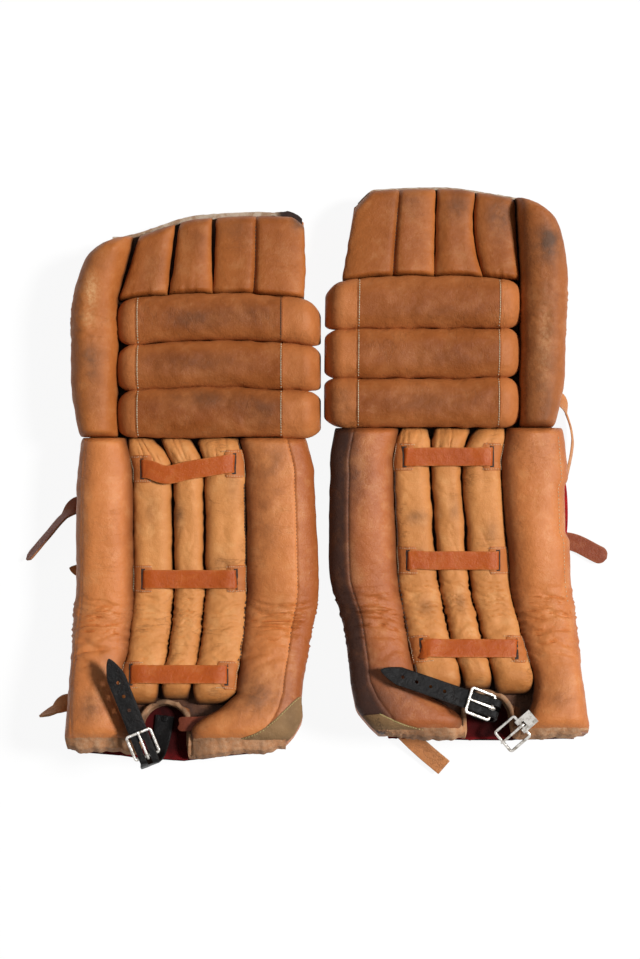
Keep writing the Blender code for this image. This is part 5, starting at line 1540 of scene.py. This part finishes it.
def prong_mesh(at, eye_at, length):
    """A prong that hooks round a frame's bar at eye_at on the matrix's X, and tapers to its tip."""
    turn = at.to_3x3()
    radius = BAR_REACH + PRONG_THICKNESS / 2
    path = []
    sizes = []
    for step in range(17):
        angle = math.radians(350 - 260 * step / 16)
        out = Vector((math.cos(angle), 0, math.sin(angle)))
        path.append((at @ (Vector((eye_at, 0, 0)) + radius * out), turn @ Vector((0, 1, 0)), turn @ out))
        sizes.append((2, PRONG_THICKNESS / 2))
    for share in (0.2, 0.4, 0.6, 0.75, 0.88, 0.96, 1.0):
        drop = 0.9 * share ** 3
        path.append((at @ Vector((eye_at + length * share, 0, radius - drop)), turn @ Vector((0, 1, 0)),
                     turn @ Vector((0, 0, 1))))
        taper = 1 - 0.3 * share - 0.3 * (share > 0.98)
        sizes.append((2 * taper, PRONG_THICKNESS / 2 * taper))
    return swept(path, sizes)


for pad in PADS:
    for name, v in (("knee", KNEE_STRAP_PLACE), ("calf", CALF_STRAP_PLACES[pad.name]),
                    ("ankle", ANKLE_STRAP_PLACE)):
        walls = pad.thigh_walls if v > SHIN_LENGTH else shin_walls
        body = "thigh" if v > SHIN_LENGTH else "shin"
        outer = min(walls(v - FRAME_WIDTH / 2)[0], walls(v + FRAME_WIDTH / 2)[0]) - WALL_THICKNESS
        low = BACK_HEIGHT - PANEL_THICKNESS - FELT_THICKNESS - 4 * CLEARANCE - CHAPE_HEIGHT
        bar = (outer - CHAPE_DEPTH / 2, low + CHAPE_HEIGHT / 2)
        along = pad.direction(v, (0, 1, 0))
        down = pad.direction(v, (0, 0, -1))
        hung = hardware_frame(pad.place(bar[0], v, bar[1]), down, down.cross(along))
        middle = (REAR_FRAME_LENGTH - FRAME_BAR) / 2
        frame_at = hung @ Matrix.Translation((middle, 0, 0))
        buckle = f"{name}_buckle"
        pad.add(f"{buckle}_frame", frame_mesh(frame_at, REAR_FRAME_LENGTH), NICKEL, buckle, "nickel", buckle)
        pad.add(f"{buckle}_tongue", prong_mesh(frame_at, -middle, REAR_FRAME_LENGTH - 2), NICKEL, buckle,
                "nickel")
        loop = [(outer + 2, bar[1] + 5.2, (0, 1)), (bar[0] + 1, bar[1] + 5.0, (0, 1)),
                (bar[0] - 3.6, bar[1] + 3.6, (-0.7, 0.7)), (bar[0] - 5.0, bar[1], (-1, 0)),
                (bar[0] - 3.6, bar[1] - 3.6, (-0.7, -0.7)), (bar[0] + 1, bar[1] - 5.0, (0, -1)),
                (outer + 2, bar[1] - 5.2, (0, -1))]
        stations = [(pad.place(u, v, w), pad.direction(v, (face[0], 0, face[1])), CHAPE_WIDTH)
                    for u, w, face in loop]
        pad.add(f"{buckle}_loop", strap_mesh(stations, 5, None, CHAPE_THICKNESS, 7), PATCH_LEATHER, body,
                "strap_leather")


# The toe straps and buckles. A black strap is riveted in the arch, folds up and passes through its own
# buckle. The left pad has a riveted leather tab; on the right a second buckle hangs from a riveted plate.
TOE_FRAME_LENGTH = 39
TOE_REST = BACK_HEIGHT - PANEL_THICKNESS + 2 * CLEARANCE + STRAP_THICKNESS / 2
PRONG_SLOT = (-28.5, 5.25)
PRONG_SLOT_HALF = 3.5
HOLE_RADIUS = 2.4
PLATE_HIGH = (106.4, 24.8, 101.5)
PLATE_LOW = (89.2, 11.2, 93.2)
RIVET = ((4.6, 0.0), (4.6, 0.5), (4.2, 0.9), (2.8, 1.0), (2.6, 0.7), (1.9, 0.7), (1.7, 1.5), (0.9, 1.9),
         (0.2, 2.0))
HOLE_SHARES = {"left": (0.40, 0.56, 0.72), "right": (0.36, 0.50, 0.64, 0.78)}
TOE_STRAPS = ((LEFT, ((44, 40, 0), (47, 16, 0), (53, -12, 5), (58, -27, 18), (59, -31, 42)), (66, -7, 114),
               (112, 103, 146)),
              (RIGHT, ((26, 36, 0), (36, 33, 0), (45, 30, 4), (52, 27, 20), (52, 26, 42)), (28, 34, 112),
               (-105, 78, 124)))
BLACK = worn_leather("black_leather_oiled", (0.0035, 0.003, 0.003, 1), (0.002, 0.0015, 0.0015, 1),
                     (0.016, 0.014, 0.012, 1), (1, 1, 1), 0.3, 0.34, 0.10)
TAB_LEATHER = worn_leather("tab_leather", (0.15, 0.032, 0.014, 1), (0.06, 0.013, 0.007, 1),
                           (0.36, 0.15, 0.07, 1), (1, 1, 1), 0.5, 0.5)


def turned(at, profile):
    """A round piece about the matrix's Z, through (radius, height)."""
    turns = [math.pi * step / 10 for step in range(20)]
    rings = []
    for radius, height in profile:
        rings.append([at @ Vector((radius * math.cos(turn), radius * math.sin(turn), height))
                      for turn in turns])
    return lofted(rings)


def lying_on(pad, u, v, w):
    """A matrix on the toe, with local X along the pad and local Z out of its face."""
    return hardware_frame(pad.place(u, v, w), pad.direction(0, (0, 1, 0)), pad.direction(0, UP))


def add_toe_buckle(pad, name, at):
    """A toe buckle's frame and the prong on its bar, each on a body of its own."""
    pad.add(f"{name}_frame", frame_mesh(at, TOE_FRAME_LENGTH), NICKEL, name, "nickel", name)
    prong = prong_mesh(at, (FRAME_BAR - TOE_FRAME_LENGTH) / 2, TOE_FRAME_LENGTH - 1)
    pad.add(f"{name}_tongue", prong, NICKEL, f"{name}_prong", "nickel", f"{name}_prong")


for pad, foot, centre, tip in TOE_STRAPS:
    origin = pad.place(*centre)
    reach = (pad.place(*tip) - origin).length
    threaded = hardware_frame(origin, pad.place(*tip) - origin, pad.direction(0, UP))
    facing = threaded.to_3x3() @ Vector((0, 0, 1))
    sideways = threaded.to_3x3() @ Vector((0, 1, 0))
    bottom = [pad.place(u, v, TOE_REST + lift) for u, v, lift in foot]
    points = bottom + [threaded @ Vector((share * TOE_FRAME_LENGTH / 2, 0, 0))
                       for share in (-1.25, -0.45, 0.45, 1.25)]
    stations = []
    for i, point in enumerate(points):
        outward = sideways.cross(points[min(i + 1, len(points) - 1)] - points[max(i - 1, 0)])
        stations.append((point, facing if i >= len(bottom) else -outward.normalized(), STRAP_WIDTH))
    stations += [(threaded @ Vector((share * reach, 0, 0)), facing, STRAP_WIDTH)
                 for share in (0.6, 0.9, 1.0)]
    strap = pad.add("toe_strap_leather", strap_mesh(stations, 7, ("pointed", 26), seed=13), BLACK,
                    "toe_strap", "black_leather", "toe_strap")
    slot = [(PRONG_SLOT[end], side * PRONG_SLOT_HALF) for end, side in ((0, -1), (1, -1), (1, 1), (0, 1))]
    openings = [lofted([[threaded @ Vector((x, y, z)) for x, y in slot] for z in (-13, 13)])]
    for share in HOLE_SHARES[pad.name]:
        hole_at = threaded @ Matrix.Translation((share * reach, 0, 0))
        openings.append(turned(hole_at, ((HOLE_RADIUS, -6), (HOLE_RADIUS, 6))))
    cut(strap, *openings)
    drop = (STRAP_THICKNESS + FRAME_THICKNESS) / 2 + 0.8
    tilted = threaded @ Matrix.Rotation(-math.asin(2 * drop / (TOE_FRAME_LENGTH - FRAME_BAR)), 4, "Y")
    add_toe_buckle(pad, "toe_buckle", tilted)
    rivet_at = lying_on(pad, foot[0][0], foot[0][1] - 4, TOE_REST + 1.6)
    pad.add("toe_strap_rivet", turned(rivet_at, RIVET), BLACK, "toe_strap", "nickel")

tab_level = BACK_HEIGHT - PANEL_THICKNESS + BINDING_HEIGHT + 2 * CLEARANCE
tab_outline = [Vector((u, v, 0)) for u, v in ((-17, 15), (-6, 16), (20, 16), (25, 20), (22, 26), (24, 33),
                                              (20, 36), (-6, 36), (-24, 37))]
rings = []
for level, inset in ((0, 0.96), (0.7, 1), (2.3, 1), (3.0, 0.96)):
    ring = []
    for u, v, w in rounded_ring(tab_outline, 2.5, 2, (3,)):
        u = 8 + (u - 8) * inset
        v = 26 + (v - 26) * inset
        climb = 12 * max(0.0, -(u + 2) / 22) ** 1.3
        ring.append(LEFT.place(u, v, tab_level + level + climb + 0.5 * rippled(45, u / 8, v / 8)))
    rings.append(ring)
LEFT.add("toe_tab_leather", lofted(rings), TAB_LEATHER, "shin", "brown_leather", "toe_tab")
rivet_at = lying_on(LEFT, -2, 27, tab_level + 3.1)
LEFT.add("toe_tab_rivet", turned(rivet_at, RIVET), TAB_LEATHER, "shin", "nickel")

plate_end = RIGHT.place(*PLATE_LOW)
seat = hardware_frame(plate_end, plate_end - RIGHT.place(*PLATE_HIGH), RIGHT.direction(0, UP))
bpy.data.objects["right_toe_tab"].material_slots[0].material = NICKEL.owner
rivet_at = seat @ Matrix.Translation((-9, 0, 0.05))
RIGHT.add("toe_plate_rivet", turned(rivet_at, RIVET), NICKEL, "shin", "nickel")
second = seat @ Matrix.Translation((BAR_REACH + 4 + (TOE_FRAME_LENGTH - FRAME_BAR) / 2, 0, -BAR_REACH))
add_toe_buckle(RIGHT, "second_toe_buckle", second)


# The wear patches. Worn grey-olive leather is sewn over the inner corner of each toe, with yellow thread.
# The left pad's reaches further up the roll.
WEAR_STITCH = (4.2, 2.8, 1.0, 1.3)
PATCH_LIMITS = {"left": smooth_curve((2, -56), (10, -84), (25, -106), (40, -121), (60, -140)),
                "right": smooth_curve((2, -42), (8, -76), (18, -104), (26, -118))}
PATCH_ENDS = {"left": 60, "right": 22}
OLIVE = worn_leather("olive_leather_worn", (0.22, 0.125, 0.055, 1), (0.09, 0.05, 0.024, 1),
                     (0.42, 0.28, 0.15, 1), (1, 1, 1), 0.8, 0.7, 0.2, 0.8)
for pad in PADS:
    roll = SIDE_ROLLS[pad.name, "inner"]
    places = spaced(3, PATCH_ENDS[pad.name], 26)
    acrosses = []
    for place in places:
        limit = roll.across(PATCH_LIMITS[pad.name](place), place)
        acrosses.append((-0.985, max(limit, -0.97)))
    pad.add("toe_wear_patch", laid(roll, acrosses, places, 1.2), OLIVE, "shin", "brown_leather")
    stops = [(share[1] - 0.04, place) for share, place in zip(acrosses, places) if share[1] > -0.9]
    sew_along(YELLOW_THREAD, roll, pad.shin, stops, *WEAR_STITCH)


# The stitches. Pale rows at the ends of the knee panels, dark rows down the inner rolls' seams and the
# thigh's sewn channels, and a pale row down the right outer roll. Each is pitch, length and thickness, and
# may end with the height above the skin.
PANEL_STITCH = (5.6, 3.4, 1.5)
INNER_STITCH = (5.5, 3.0, 1.1, -0.2)
SHIN_STITCH = (5.0, 4.2, 1.7, 0.5)
CHANNEL_STITCH = (5.2, 3.4, 1.7)
OUTER_STITCH = (5.0, 3.2, 0.9)
STRAP_ROOM = 22
for pad in PADS:
    for name in ("bottom", "middle", "top"):
        roll = KNEE_ROLLS[pad.name, name]
        for end in KNEE_PANEL_ENDS[pad.name]:
            at = end + (2.5 if end < 0 else -2.5)
            thread = DARK_THREAD if (pad, name) == (LEFT, "top") and end < 0 else PALE_THREAD
            sew_along(thread, roll, pad.thigh, [(share / 10, at) for share in range(-9, 10)], *PANEL_STITCH)
    inner = SIDE_ROLLS[pad.name, "inner"]
    sew_along(DARK_THREAD, inner, pad.shin, [(INNER_SEAM, v) for v in range(66, 437, 10)], *INNER_STITCH)
    shin = SHIN_ROLLS[pad.name, "inner"]
    for low, high in zip((70, *[place + STRAP_ROOM for place in FRONT_STRAPS[pad.name]]),
                         (*[place - STRAP_ROOM for place in FRONT_STRAPS[pad.name]], 436)):
        if high - low > 12:
            stops = [(-0.93, place) for place in spaced(low, high, 12)]
            sew_along(DARK_THREAD, shin, pad.shin, stops, *SHIN_STITCH)
    thigh = UPPER_ROLLS[pad.name, "inner"]
    stops = [(CHANNEL_PLACE, pad.thigh_start + 8 + step * 10) for step in range(10)]
    sew_along(DARK_THREAD, thigh, pad.thigh, stops, *CHANNEL_STITCH)
stops = [(OUTER_SEAM, v) for v in range(190, 431, 10)]
sew_along(PALE_THREAD, SIDE_ROLLS["right", "outer"], RIGHT.shin, stops, *OUTER_STITCH)
for thread in (PALE_THREAD, DARK_THREAD, YELLOW_THREAD):
    thread.finished()
